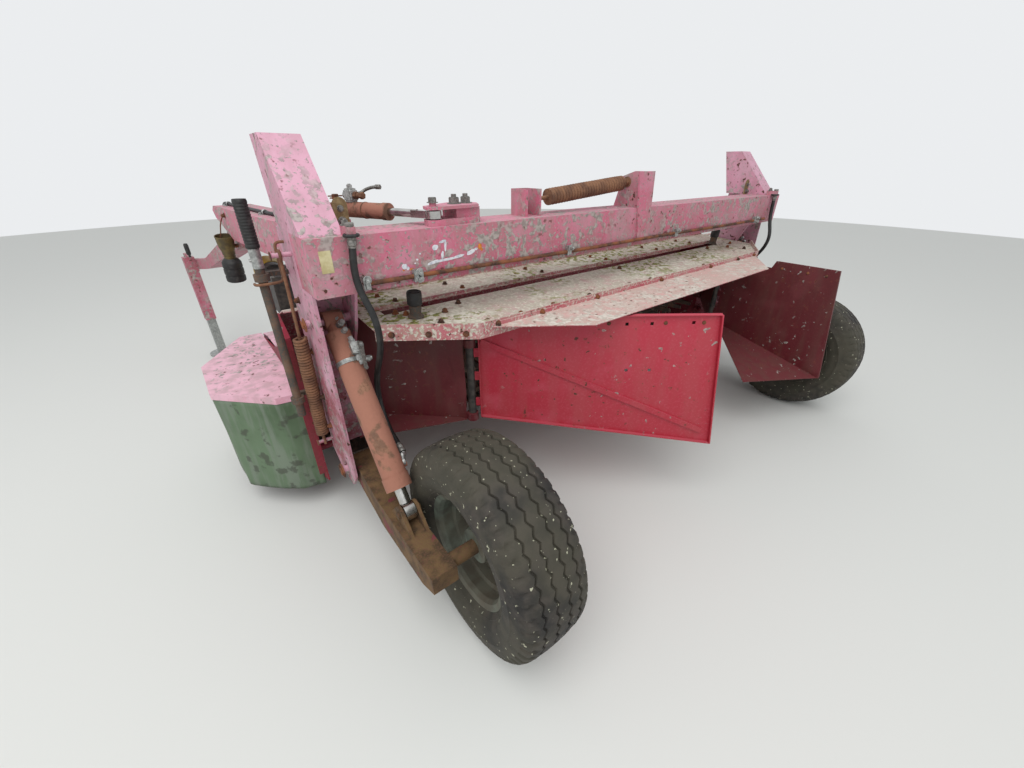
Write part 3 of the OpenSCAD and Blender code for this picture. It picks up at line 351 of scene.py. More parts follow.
zinc = plain_metal("galvanised steel", "#8f918f", "#b6b8b5", 9, 0.48, 0.75)
chrome = plain_metal("hard chrome on a rod", "#b4b2ae", "#c9c8c4", 30, 0.22, 1.0)
black_iron = plain_metal("painted cast iron", "#2c2b2a", "#4a4540", 25, 0.6, 0.15)
bare_edge = plain_metal("bolt steel", "#6c6a66", "#8e8b86", 6, 0.5, 0.7)

# %% [markdown]
# ## Rubber, plastic and canvas
#
# A tyre is carbon-black rubber, which weathers to a dusty grey brown on its ribs and stays dark in
# its grooves. The guard ring is polyethylene, matt and a little faded. The canvas is woven
# polyester coated with PVC: grey green, nearly smooth, and stained by wet grass along its hem.

# %% Rubber, plastic and canvas
def soft_finish(name, tone, worn, size_mm, cut, rough, bump_mm=0.2, dust=None, specks=None):
    m, tree = new_material(name)
    where = node(tree, "ShaderNodeTexCoord").outputs["Object"]
    wear = patches(tree, where, size_mm, cut, 0.14, detail=8)
    base = mixed(tree, wear, tone, worn)
    if dust:
        base = mixed(tree, patches(tree, where, 240, 0.46, 0.12, offset=(2, 2, 2)), base, dust, 0.6)
    if specks:
        # young lichen, in pale spots 3 to 8 mm wide
        spots = patches(tree, where, 15, 0.70, 0.015, detail=2, offset=(5, 1, 4))
        base = mixed(tree, spots, base, specks, 0.9)
    grit = patches(tree, where, 4, 0.5, 0.2, detail=3)
    finish_with(tree, base, rough, grit, bump_mm)
    return m


tyre_rubber = soft_finish("weathered tyre rubber", "#211f1d", "#3d3732", 45, 0.5, 0.78, 0.3,
                          dust="#474436", specks="#b5b49c")
hose_rubber = soft_finish("hose rubber", "#131313", "#2b2a29", 30, 0.6, 0.5, 0.1)
grip_rubber = soft_finish("moulded grip", "#1d1d1d", "#3a3937", 20, 0.6, 0.6, 0.1)
guard_plastic = soft_finish("yellow polyethylene", "#c39a1e", "#a98a3a", 60, 0.5, 0.6, 0.1, "#7f7448")
rim_paint = soft_finish("grey green rim paint", "#667064", "#4f5349", 50, 0.5, 0.7, 0.2, "#57493b")
plate_paint = soft_finish("cream plate", "#cfc49a", "#b5a778", 25, 0.55, 0.5, 0.05)


def coated_canvas():
    """Polyester weave under PVC, its threads drawn 3 mm apart so that they show."""
    threads = 1000 / 3 / math.tau
    m, tree = new_material("coated canvas")
    where = node(tree, "ShaderNodeTexCoord").outputs["Object"]
    base = mixed(tree, patches(tree, where, 260, 0.5, 0.16, detail=5), "#455a3e", "#60765a")
    drip = node(tree, "ShaderNodeMapping", in_Scale=(1, 1, 0.12), links=[("Vector", where)])
    base = mixed(tree, patches(tree, drip.outputs[0], 35, 0.54, 0.1, detail=6), base, "#7b8278", 0.5)
    base = mixed(tree, patches(tree, where, 70, 0.60, 0.04, detail=9), base, "#3a3b31", 0.7)
    rise = node(tree, "ShaderNodeTexWave", wave_type="BANDS", bands_direction="Z",
                in_Scale=threads, links=[("Vector", where)])
    finish_with(tree, base, 0.55, rise.outputs[1], 0.15)
    return m


canvas = coated_canvas()
print("materials:", len(bpy.data.materials))

# %% Finishes for the frame's own solids
finishes = {
    beam_enamel: ["cross_beam", "beam_fittings", "pivot_bracket", "drawbar", "jack_sleeve"],
    leg_enamel: ["leg_left", "leg_right"],
    shade_dark_enamel: ["end_plates", "header_links", "front_beam"],
    board_enamel: ["swath_board_left"],
    shaded_enamel: ["wing_panels", "swath_board_right"],
    deck_enamel: ["deck"],
    flap_enamel: ["rear_flap", "hood"],
    guard_enamel: ["side_guards", "front_guard"],
    arm_steel: ["arm_left", "arm_right"],
    cylinder_paint: ["lift_barrel_left", "lift_barrel_right", "swing_barrel"],
    chrome: ["lift_rod_left", "lift_rod_right", "swing_rod"],
    spring_rust: ["beam_spring", "float_springs"],
    rim_paint: ["rim_left", "rim_right"],
    tyre_rubber: ["tyre_left", "tyre_right"],
    worn_steel: ["cutter_bar", "rotor", "hitch_eye", "prop_pole"] + [f"disc_{i}" for i in range(1, 8)],
    black_iron: ["gearbox"],
    guard_plastic: ["shaft_guard", "drive_shaft"],
    zinc: ["jack_leg"],
    hose_rubber: ["hose_left", "hose_right", "hose_drawbar"],
    canvas: ["side_curtains", "front_curtain"],
}
for material, names in finishes.items():
    for name in names:
        slots = nodes[name].data.materials
        for i in range(len(slots)):
            slots[i] = material
print("finished nodes:", sum(len(v) for v in finishes.values()), "of", len(nodes))

# %% [markdown]
# ## Tools for the small parts
#
# Everything below is placed from three measures: inwards from the beam's end, forward of its rear
# face, and up from the ground, all in metres. The same call with `right` set gives the mirror
# image, so a part drawn for the left side fits the right side too. Parts that turn with the
# drawbar or slide with a cylinder are drawn in that part's own lines and then brought over.

# %% Places on the machine
def spot(x, y, z, right=False):
    """The point x inwards from the beam's end, y forward of its rear face and z above the ground."""
    return Vector((beam_high[0] - x if right else beam_low[0] + x, beam_low[1] + y, z))


def inwards(right):
    """The way from one side's wheel towards the machine's middle."""
    return Vector((-1 if right else 1, 0, 0))


SIDES = (("left", False), ("right", True))
UP, AHEAD, BACK = Vector((0, 0, 1)), Vector((0, 1, 0)), Vector((0, -1, 0))

# places that several parts share, in the measures of spot()
HUB_Y, HUB_Z = -0.478, 0.380
DRAWBAR_TOP_Z = 1.3342
LIFT_TOP, LIFT_FOOT = (0.077, 0.203, 1.032), (0.077, -0.262, 0.455)
LEG_PIVOT_Y, LEG_PIVOT_Z = 0.170, 0.400
SPRING_FOOT, SPRING_TOP = (0.328, 0.470), (0.222, 1.270)
BOARD_HINGE = (0.548, 0.032)
drawbar_pivot = spot(0.150, 0.370, 0)
drawbar_turn = Matrix.Rotation(math.radians(6.5), 4, "Z")


def by_drawbar(x, y, z):
    """The point x right of, y ahead of and z above the drawbar's pivot on the ground."""
    return drawbar_pivot + drawbar_turn @ Vector((x, y, z))


def aim(p, q, turn=0.0):
    """The matrix that brings the origin to p and turns the Z axis towards q."""
    return (Matrix.Translation(p) @ (Vector(q) - Vector(p)).to_track_quat("Z", "Y").to_matrix().to_4x4()
            @ Matrix.Rotation(turn, 4, "Z"))


def stand(place, way):
    """The matrix that puts a part's foot at place and points it along way."""
    return aim(place, place + way)


def arc(radius, start, end, step):
    """Pairs (x, y) on a circle round the origin, from start to just before end, in degrees."""
    turns = [math.radians(a) for a in range(start, end, step)]
    return [(radius * math.cos(a), radius * math.sin(a)) for a in turns]


# %% Ways to make a part
def piece(name, bm, material, body="frame", angle=32):
    """A finished part, smooth all over but for edges where it bends more than the angle."""
    o = new_object(name, bm, material, body)
    o.data.shade_smooth()
    o.data.set_sharp_from_angle(angle=math.radians(angle))
    return o


def put(bm, part, where=None):
    """Moves a finished part to its place and adds it to bm."""
    if where:
        bmesh.ops.transform(part, matrix=where, verts=part.verts)
    mesh = bpy.data.meshes.new("part")
    part.to_mesh(mesh)
    part.free()
    bm.from_mesh(mesh)
    bpy.data.meshes.remove(mesh)


def lathe(bm, profile, where, steps=32):
    """Spins a profile of (radius, height) pairs about Z and puts it at where."""
    part = bmesh.new()
    line = [part.verts.new((r, 0, z)) for r, z in profile]
    edges = [part.edges.new(pair) for pair in zip(line, line[1:])]
    bmesh.ops.spin(part, geom=line + edges, cent=(0, 0, 0), axis=(0, 0, 1), angle=math.tau,
                   steps=steps, use_merge=True)
    bmesh.ops.remove_doubles(part, verts=part.verts, dist=1e-6)
    bmesh.ops.recalc_face_normals(part, faces=part.faces)
    put(bm, part, where)


def through(points, between=4):
    """Points along a smooth line through the given ones."""
    pts = [Vector(p) for p in points]
    pts = [2 * pts[0] - pts[1]] + pts + [2 * pts[-1] - pts[-2]]
    out = []
    for a, b, c, d in zip(pts, pts[1:], pts[2:], pts[3:]):
        for i in range(between):
            t = i / between
            out.append(0.5 * (2 * b + (c - a) * t + (2 * a - 5 * b + 4 * c - d) * t ** 2
                              + (3 * b - a - 3 * c + d) * t ** 3))
    return out + [pts[-2]]


def sweep(bm, path, radius, sides=10):
    """A round bar or tube along a path, closed at both ends."""
    curve = bpy.data.curves.new("path", "CURVE")
    curve.dimensions = "3D"
    curve.bevel_depth = radius
    curve.bevel_resolution = max(0, sides // 2 - 2)
    curve.use_fill_caps = True
    line = curve.splines.new("POLY")
    line.points.add(len(path) - 1)
    for point, place in zip(line.points, path):
        point.co = (*place, 1)
    o = bpy.data.objects.new("path", curve)
    mesh = bpy.data.meshes.new_from_object(o)
    bm.from_mesh(mesh)
    bpy.data.objects.remove(o)
    bpy.data.curves.remove(curve)
    bpy.data.meshes.remove(mesh)


def plate(bm, outline, thick, where, edge=0.001):
    """A flat plate from its outline in x and y, its corners and edges a little rounded."""
    part = bmesh.new()
    face = part.faces.new([part.verts.new((x, y, 0)) for x, y in outline])
    up = bmesh.ops.extrude_face_region(part, geom=[face])["geom"]
    bmesh.ops.translate(part, vec=(0, 0, thick), verts=[v for v in up if isinstance(v, bmesh.types.BMVert)])
    bmesh.ops.recalc_face_normals(part, faces=part.faces)
    if edge:
        bmesh.ops.bevel(part, geom=list(part.edges), offset=edge, segments=2, affect="EDGES")
    put(bm, part, where)


def block(bm, size, edge, where, segments=2, rounded=lambda e: True):
    """A block with those of its edges rounded that the test picks."""
    part = bmesh.new()
    bmesh.ops.create_cube(part, size=1)
    bmesh.ops.scale(part, vec=size, verts=part.verts)
    bmesh.ops.bevel(part, geom=[e for e in part.edges if rounded(e)], offset=edge, segments=segments,
                    affect="EDGES")
    put(bm, part, where)


def strap(bm, path, across):
    """A thin band 16 mm wide along a path, drawn as four strips side by side."""
    for shift in (-0.006, -0.002, 0.002, 0.006):
        sweep(bm, [p + across * shift for p in path], 0.0022, 6)


def bolt(bm, foot, up, across=0.019, stud=0.006, washer=True):
    """A hexagon head or nut with its washer, and the end of its thread, standing at foot. Each is
    turned by a random part of a radian, as spanners leave them."""
    where = aim(foot, Vector(foot) + Vector(up), random.uniform(0, 1))
    high = across * 0.62
    base = 0.0025 if washer else 0
    if washer:
        lathe(bm, [(0, 0), (across * 0.8, 0), (across * 0.8, base * 0.8), (across * 0.76, base), (0, base)],
              where, 24)
    part = bmesh.new()
    bmesh.ops.create_cone(part, cap_ends=True, segments=6, radius1=across * 0.577, radius2=across * 0.577,
                          depth=high, matrix=Matrix.Translation((0, 0, base + high / 2)))
    bmesh.ops.bevel(part, geom=[e for e in part.edges if all(v.co.z > base + high * 0.6 for v in e.verts)],
                    offset=across * 0.06, segments=2, affect="EDGES")
    put(bm, part, where)
    if stud:
        r = across * 0.3
        lathe(bm, [(0, 0), (r, 0), (r, base + high + stud - 0.001), (r - 0.001, base + high + stud),
                   (0, base + high + stud)], where, 16)


def tip(r, h, chamfer=0.0015):
    """The profile of a plain round part of height h with its upper edge taken off."""
    return [(0, 0), (r, 0), (r, h - chamfer), (r - chamfer, h), (0, h)]


def band(inner, outer, high, lead=0.001):
    """The profile of a ring round a bar, its edges sloping down to the bar."""
    return [(inner, 0), (outer, lead), (outer, high - lead), (inner, high)]


# %% [markdown]
# ## Tyres
#
# An implement tyre of this size has five ribs. The grooves between them run in a zigzag, so that
# the ribs' edges grip, and short slots cut the outer ribs where the shoulder bends. The groove
# could be painted on as bump, but at the shoulder the outline itself is notched, so the profile is
# spun in small steps and the points in each groove are pushed sideways in turn.

# %% Tyres with their tread
TYRE_R, RIM_R = 0.380, 0.195
GROOVES = (-0.070, -0.024, 0.024, 0.070)
# across a groove, its depth at each point
GROOVE_CUT = ((-0.0052, 0), (-0.0040, 0.0015), (-0.0022, 0.0082),
              (0.0022, 0.0082), (0.0040, 0.0015), (0.0052, 0))
CROWN_FALL = 0.9
PLAIN, ZIGZAG, SLOTTED = 0, 1, 2


def tyre_profile():
    """Points (radius, place across the tyre, what is cut there), from the left bead to the right."""
    crown = []
    for g in GROOVES:
        crown += [(TYRE_R - CROWN_FALL * g * g - deep, g + dx, ZIGZAG) for dx, deep in GROOVE_CUT]
        rib = g + 0.023
        if g < GROOVES[-1]:
            crown.append((TYRE_R - CROWN_FALL * rib ** 2, rib, PLAIN))
    # the bead, the rim's flange, a raised ring on the side wall, then the shoulder
    wall = [(RIM_R + 0.001, 0.082, PLAIN), (RIM_R + 0.012, 0.094, PLAIN), (RIM_R + 0.024, 0.106, PLAIN),
            (RIM_R + 0.028, 0.111, PLAIN), (RIM_R + 0.032, 0.110, PLAIN), (RIM_R + 0.050, 0.124, PLAIN),
            (RIM_R + 0.074, 0.131, PLAIN), (RIM_R + 0.096, 0.132, PLAIN), (RIM_R + 0.098, 0.1332, PLAIN),
            (RIM_R + 0.101, 0.1332, PLAIN), (RIM_R + 0.103, 0.1318, PLAIN), (TYRE_R - 0.060, 0.129, PLAIN),
            (TYRE_R - 0.045, 0.1265, PLAIN), (TYRE_R - 0.036, 0.124, SLOTTED),
            (TYRE_R - 0.022, 0.117, SLOTTED), (TYRE_R - 0.014, 0.109, SLOTTED),
            (TYRE_R - 0.009, 0.098, SLOTTED), (TYRE_R - 0.0066, 0.088, PLAIN)]
    return [(r, -x, cut) for r, x, cut in wall] + crown + wall[::-1]


def tyre_mesh(centre, periods=52, steps=7):
    """The profile spun in small steps, then cut: 52 waves in each groove, 52 slots in each shoulder."""
    profile = tyre_profile()
    part = bmesh.new()
    line = [part.verts.new((r, 0, x)) for r, x, cut in profile]
    edges = [part.edges.new(pair) for pair in zip(line, line[1:])]
    bmesh.ops.spin(part, geom=line + edges, cent=(0, 0, 0), axis=(0, 0, 1), angle=math.tau,
                   steps=periods * steps, use_merge=True)
    bmesh.ops.remove_doubles(part, verts=part.verts, dist=1e-6)
    wave, slot, slot_share, groove_split = 0.0062, 0.0075, 0.34, 0.05
    for v in part.verts:
        r = math.hypot(v.co.x, v.co.y)
        turn = (math.atan2(v.co.y, v.co.x) / math.tau) % 1
        cut = min(profile, key=lambda q: (q[0] - r) ** 2 + (q[1] - v.co.z) ** 2)[2]
        if cut == ZIGZAG:
            place = (turn * periods + (0.5 if abs(v.co.z) > groove_split else 0)) % 1
            v.co.z += wave * (abs(place - 0.5) * 4 - 1)
        elif cut == SLOTTED:
            place = (turn * periods + (0.5 if v.co.z > 0 else 0)) % 1
            if place < slot_share:
                v.co.x *= (r - slot) / r
                v.co.y *= (r - slot) / r
    bmesh.ops.recalc_face_normals(part, faces=part.faces)
    bm = bmesh.new()
    put(bm, part, aim(centre, centre + Vector((1, 0, 0))))
    return bm


for side, right in SIDES:
    low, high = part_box(f"tyre_{side}")
    centre = (Vector(low) + Vector(high)) / 2
    tyre = piece(f"tread_{side}", tyre_mesh(centre), tyre_rubber, f"wheel_{side}", 38)
    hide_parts(f"tyre_{side}")

    # nuts on the wheel disc, and the cap over the hub's bearing
    out = inwards(right)
    disc = spot(0.2792, HUB_Y, HUB_Z, right)
    bm = bmesh.new()
    for y, z in arc(0.085, 0, 360, 60):
        bolt(bm, disc + Vector((0, y, z)), out, 0.024, 0.012)
    hub = spot(0.3273, HUB_Y, HUB_Z, right)
    lathe(bm, [(0.030, 0), (0.046, 0), (0.046, 0.020), (0.038, 0.028), (0.012, 0.032), (0, 0.032), (0, 0.028),
               (0.030, 0.026), (0.030, 0)], stand(hub, out), 32)
    piece(f"wheel_nuts_{side}", bm, bare_edge, f"wheel_{side}")

# %% [markdown]
# ## Springs
#
# The frame's springs are coarse, because there they only have to hold their place. A drawn
# tension spring is wound tight, so its coils touch and its surface is a row of round wires with
# rust between them. The coil here keeps the frame's ends, radius and number of turns.

# %% Springs with round wire
def coil_path(p, q, radius, turns, steps=20):
    """Points along a coil from p to q, in the order of the wire."""
    where = aim(p, q)
    length = (Vector(q) - Vector(p)).length
    return [where @ Vector((radius * math.cos(math.tau * i / steps), radius * math.sin(math.tau * i / steps),
                            length * i / (turns * steps))) for i in range(int(turns * steps) + 1)]


for side, right in SIDES:
    bm = bmesh.new()
    foot, top = spot(-0.034, *SPRING_FOOT, right), spot(-0.034, *SPRING_TOP, right)
    along = (top - foot).normalized()
    sweep(bm, coil_path(foot + along * 0.042, foot + along * 0.502, 0.0200, 38), 0.0059, 8)
    # hooked ends: the wire rises from the coil's edge to its middle and turns round the pin
    for end, way, reach in ((foot, along, 0.042), (top, -along, 0.300)):
        ring = [end + Matrix.Rotation(math.radians(a), 3, "X") @ (way * 0.0135) for a in range(0, 331, 22)]
        sweep(bm, ring, 0.0052, 8)
        stem = [end + way * t for t in (0.014, 0.028, reach - 0.012, reach + 0.004)]
        sweep(bm, through(stem, 3), 0.0058, 8)
    spring = piece(f"float_spring_{side}", bm, spring_rust, "frame", 60)
    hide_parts("float_springs")

bm = bmesh.new()
p, q = spot(0.9462, 0.100, 1.398), spot(1.5628, 0.100, 1.452)
along = (q - p).normalized()
sweep(bm, coil_path(p + along * 0.092, q - along * 0.062, 0.0255, 26, 22), 0.0088, 8)
sweep(bm, [p + along * 0.0005, p + along * 0.094], 0.008, 10)
sweep(bm, [q - along * 0.062, q - along * 0.0005], 0.008, 10)
for a, b in ((p + along * 0.080, p + along * 0.094), (q - along * 0.064, q - along * 0.050)):
    lathe(bm, tip(0.033, (b - a).length), aim(a, b), 32)
for a in (p, q):
    way = along if a is p else -along
    bolt(bm, a + way * 0.0004, way, 0.030, 0.012)
beam_coil = piece("beam_coil", bm, spring_rust, "frame", 50)
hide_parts("beam_spring")

# %% [markdown]
# ## Hoses
#
# Hydraulic hose is stiff: it leaves a fitting straight and bends only beyond it. The two lift
# hoses hang from elbows on the beam's top and come round behind the wheel arms' cylinders. The
# third one feeds the swing cylinder and lies along the drawbar's top. Each follows the same points
# as the frame's plain tube, joined here by a smooth line.

# %% Hoses
LIFT_ROUTE = [
    (0.128, -0.020, 1.346), (0.126, -0.020, 1.318), (0.122, -0.020, 1.284), (0.119, -0.021, 1.248),
    (0.119, -0.024, 1.212), (0.123, -0.032, 1.177), (0.131, -0.044, 1.143), (0.139, -0.057, 1.108),
    (0.144, -0.064, 1.070), (0.147, -0.061, 1.030), (0.149, -0.047, 0.988), (0.150, -0.023, 0.946),
    (0.151, 0.006, 0.905), (0.151, 0.034, 0.864), (0.151, 0.055, 0.820), (0.150, 0.065, 0.774),
    (0.149, 0.061, 0.728), (0.147, 0.042, 0.688), (0.144, 0.012, 0.658), (0.141, -0.024, 0.637),
    (0.139, -0.062, 0.626), (0.138, -0.098, 0.616), (0.137, -0.130, 0.604)]
DRAWBAR_ROUTE = [
    (0.060, 0.236, 1.3425), (0.030, 0.262, 1.3425), (0.004, 0.296, 1.3425), (-0.014, 0.336, 1.3425),
    (-0.024, 0.382, 1.3425), (-0.028, 0.430, 1.3425), (-0.030, 0.490, 1.3425), (-0.031, 0.550, 1.3425),
    (-0.031, 0.620, 1.3425), (-0.030, 0.700, 1.3425), (-0.029, 0.780, 1.3425), (-0.028, 0.860, 1.3425),
    (-0.027, 0.940, 1.3425), (-0.026, 1.020, 1.3425), (-0.026, 1.100, 1.3425), (-0.026, 1.160, 1.3425),
    (-0.026, 1.200, 1.3425), (-0.026, 1.236, 1.334), (-0.026, 1.262, 1.314), (-0.026, 1.284, 1.285),
    (-0.026, 1.296, 1.254), (-0.026, 1.306, 1.222), (-0.026, 1.322, 1.194), (-0.026, 1.344, 1.173),
    (-0.026, 1.372, 1.160), (-0.026, 1.402, 1.151), (-0.026, 1.436, 1.1415)]


# how much wider than the hose a crimped ferrule is, and how far from its end
FERRULE = [(-0.001, 0.0005), (0.002, 0.0005), (0.003, 0.003), (0.003, 0.014), (0.002, 0.016),
           (0.003, 0.018), (0.003, 0.030), (0.001, 0.033), (0.001, 0.038), (-0.001, 0.038)]


def hose(name, points, radius, body, stands_for):
    """A hose along its route with a crimped ferrule at each end."""
    path = through(points)
    bm = bmesh.new()
    sweep(bm, path, radius, 16)
    o = piece(name, bm, hose_rubber, body)
    bm = bmesh.new()
    for end, inner in ((path[0], path[3]), (path[-1], path[-4])):
        lathe(bm, [(radius + wider, h) for wider, h in FERRULE], aim(end, inner), 24)
    ferrules = piece(name + "_ferrules", bm, bare_edge, body)
    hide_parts(stands_for)


for side, right in SIDES:
    hose(f"lift_hose_{side}", [spot(*p, right) for p in LIFT_ROUTE], 0.011, "frame", f"hose_{side}")
hose("swing_hose", [by_drawbar(*p) for p in DRAWBAR_ROUTE], 0.008, "drawbar_body", "hose_drawbar")

# %% [markdown]
# ## What is fixed to the lift cylinders
#
# Each lift cylinder carries a shut-off valve near its upper end, a strap round its barrel, and a
# welded port at its lower end where the hose goes in. They are drawn down the cylinder's own
# line, so they follow it as the wheel rises.

# %% Valves, straps and ports on the lift cylinders
def on_barrel(t, angle, out, right):
    """The point t down the cylinder's line, at an angle from its upper face, and out from its axis."""
    top = spot(*LIFT_TOP, right)
    down = (spot(*LIFT_FOOT, right) - top).normalized()
    across = inwards(right)
    face = across.cross(down) if right else down.cross(across)
    if face.z < 0:
        face.negate()
    a = math.radians(angle)
    way = face * math.cos(a) + across * math.sin(a)
    return top + down * t + way * out, down, way


for side, right in SIDES:
    bm = bmesh.new()
    # bleed screw and union in line above the valve
    for t, r in ((0.036, 0.0115), (0.066, 0.0100)):
        place, down, way = on_barrel(t, 14, 0.028, right)
        lathe(bm, tip(r, 0.026), stand(place, way), 24)
        bolt(bm, place + way * 0.026, way, 0.017, 0.0, False)
    # valve body with its two unions, along the barrel
    a, b = on_barrel(0.094, 22, 0.058, right)[0], on_barrel(0.200, 30, 0.058, right)[0]
    reach, thin, wide = (b - a).length, 0.009, 0.013
    lathe(bm, [(0, 0), (thin, 0), (thin, 0.012), (wide, 0.013), (wide, 0.030), (thin, 0.031), (thin, 0.072),
               (wide, 0.073), (wide, 0.090), (thin, 0.091), (thin, reach), (0, reach)], aim(a, b), 6)
    place, down, way = on_barrel(0.140, 25, 0.058, right)
    block(bm, (0.032, 0.036, 0.042), 0.004, stand(place, down))
    # the stem and its lever
    lathe(bm, tip(0.008, 0.034), stand(place, way), 16)
    bolt(bm, place + way * 0.031, way, 0.014, 0.002, False)
    # stub and elbow that turn from the valve towards the hose
    across = inwards(right)
    start = on_barrel(0.186, 30, 0.058, right)[0]
    sweep(bm, through([start, start + across * 0.012, start + across * 0.026 + way * 0.002,
                       start + across * 0.036 + way * 0.004], 3), 0.0075, 12)
    bolt(bm, start + across * 0.020, across, 0.020, 0.0, False)
    # strap round the barrel
    ring = [on_barrel(0.172, -200 + 7.5 * k, 0.0452, right)[0] for k in range(33)]
    strap(bm, ring, down)
    # port boss, and the short pipe that bends from it to the hose's end
    place, down, way = on_barrel(0.575, 84, 0.040, right)
    lathe(bm, tip(0.0135, 0.012), stand(place, way), 24)
    hose_end = spot(*LIFT_ROUTE[-1], right)
    line = (hose_end - spot(*LIFT_ROUTE[-2], right)).normalized()
    sweep(bm, through([hose_end + line * 0.001, hose_end + line * 0.012, place + way * 0.011 - down * 0.026,
                       place + way * 0.008 - down * 0.010, place + way * 0.002]), 0.0085, 12)
    # grease nipple on the upper eye
    place, down, way = on_barrel(0.012, 12, 0.0335, right)
    lathe(bm, [(0, 0), (0.005, 0), (0.005, 0.003), (0.003, 0.005), (0.003, 0.009), (0.004, 0.011),
               (0, 0.012)], stand(place, way), 12)
    piece(f"lift_valve_{side}", bm, zinc, f"lift_barrel_{side}_body")

    bm = bmesh.new()
    place, down, way = on_barrel(0.138, 25, 0.089, right)
    side_way = down.cross(way)
    half = [(0.011, -0.012), (0.012, 0.004), (0.0085, 0.026), (0.0075, 0.078), (0.009, 0.090)]
    outline = [(-0.011, -0.012)] + half + [(0.0, 0.097)] + [(-x, y) for x, y in half[:0:-1]]
    lean = (down * 0.97 + side_way * (0.16 if not right else -0.16)).normalized()
    flat = Matrix((lean.cross(way).normalized(), lean, way)).transposed().to_4x4()
    plate(bm, outline, 0.004, Matrix.Translation(place) @ flat, 0.0012)
    piece(f"valve_lever_{side}", bm, bare_edge, f"lift_barrel_{side}_body")

# %% [markdown]
# ## Canvas
#
# Coated canvas hangs from the guards' rims down to ankle height, to stop stones. It is cut a
# little longer than the rim, so it falls in shallow waves that grow towards its lower edge. The
# waves are part of the cut.

# %% Canvas that hangs from the guards
def eased(route, spacing=0.012):
    """Plan points at close spacing along a route, its corners rounded by four rounds of means."""
    pts = [Vector((*p, 0)) for p in route]
    places = []
    for a, b in zip(pts, pts[1:]):
        n = max(2, round((b - a).length / spacing))
        places += [a.lerp(b, k / n) for k in range(n)]
    places.append(pts[-1])
    for _ in range(4):
        middle = [(a + 2 * b + c) / 4 for a, b, c in zip(places, places[1:], places[2:])]
        places = [places[0]] + middle + [places[-1]]
    return places


def hanging(name, route, top, body, stands_for, inward=-1, waves=0.075, swing=0.014, rows=26):
    """Canvas below a line of plan points, from top down to the hem, waving to one side only."""
    places = eased(route)
    bm = bmesh.new()
    grid = []
    run = 0.0
    for i, p in enumerate(places):
        if i:
            run += (p - places[i - 1]).length
        ahead = (places[min(i + 1, len(places) - 1)] - places[max(i - 1, 0)]).normalized()
        side_way = Vector((-ahead.y, ahead.x, 0)) * inward
        column = []
        for j in range(rows + 1):
            fall = j / rows
            wave = (0.5 + 0.5 * math.sin(run / waves + 1.7 * math.sin(run * 2.3) + 0.5 * fall)) ** 1.3
            give = swing * fall ** 0.8 * wave
            uneven = 0.006 * math.sin(run * 9) * fall
            height = Vector((0, 0, top + (HEM_Z - top) * fall + uneven))
            column.append(bm.verts.new(p + side_way * give + height))
        grid.append(column)
    for a, b in zip(grid, grid[1:]):
        for j in range(rows):
            bm.faces.new((a[j], a[j + 1], b[j + 1], b[j]))
    bmesh.ops.recalc_face_normals(bm, faces=bm.faces)
    area = sum(f.calc_area() for f in bm.faces)
    o = new_object(name, bm, canvas, body)
    o.data.shade_smooth()
    solid = o.modifiers.new("cloth", "SOLIDIFY")
    solid.thickness = 0.0025
    solid.offset = 0
    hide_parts(stands_for)


HEM_Z = 0.124
SIDE_RIM_Z, FRONT_RIM_Z, FRONT_RIM_Y = 0.6195, 0.6095, 1.3775
GUARD_PLAN = [(-0.0525, 0.480), (-0.153, 0.490), (-0.367, 0.712), (-0.371, 1.050), (-0.161, 1.382),
              (-0.0525, 1.382)]
for side, right in SIDES:
    route = [spot(x, y, 0, right).xy for x, y in GUARD_PLAN]
    hanging(f"canvas_{side}", route, SIDE_RIM_Z, "frame", "side_curtains",
            inward=1 if right else -1)
short_route = [spot(x, FRONT_RIM_Y, 0).xy for x in (-0.040, 0.350)]
hanging("canvas_front_left", short_route, FRONT_RIM_Z, "frame", "side_curtains")
front_route = [spot(x, FRONT_RIM_Y, 0).xy for x in (0.366, 3.232)]
hanging("canvas_front", front_route, FRONT_RIM_Z, "front_guard_body", "front_curtain",
        waves=0.11)

# %% [markdown]
# ## Along the cross beam
#
# A thin pipe is clamped under the beam's rear face. Beside the left horn sit a blank plate and
# what weather has left of a larger one: torn scraps of white film. A rounded plate holds the hose
# where it leaves the beam.

# %% Pipe, clamps and plates on the beam
PIPE_Z = 1.192
WIDE_CLAMP = 0.034
bm = bmesh.new()
# the pipe bows by a millimetre or two between its clamps
pipe = [spot(x / 100, -0.0095 - 0.001 * (1 - math.cos(x / 37)), PIPE_Z + 0.0016 * math.sin(x / 23))
        for x in range(14, 308, 6)]
sweep(bm, pipe, 0.008, 12)
piece("beam_pipe", bm, brown_rust)

bm = bmesh.new()
for x, w in ((0.331, WIDE_CLAMP), (0.151, 0.022), (1.060, 0.024), (1.900, 0.024), (2.869, WIDE_CLAMP)):
    place = spot(x, -0.0005, PIPE_Z)
    block(bm, (w, 0.026, 0.040), 0.006, Matrix.Translation(place + Vector((0, -0.0125, 0.004))), 3,
          lambda e: all(v.co.y < 0 for v in e.verts))
    for dz in ((0.012, -0.010) if w == WIDE_CLAMP else (0.013,)):
        bolt(bm, place + Vector((0, -0.0255, 0.004 + dz)), BACK, 0.017, 0.004)
piece("pipe_clamps", bm, zinc)

# turns a plate that is drawn flat so that its face looks to the rear
upright = Matrix.Rotation(math.radians(90), 4, "X")
bm = bmesh.new()
half_w, half_h = 0.035 / 2, 0.065 / 2
plate(bm, [(-half_w, -half_h), (half_w, -half_h), (half_w, half_h), (-half_w, half_h)], 0.0012,
      Matrix.Translation(spot(0.048, 0.0002, 1.2725)) @ upright, 0.0004)
piece("blank_plate", bm, plate_paint)


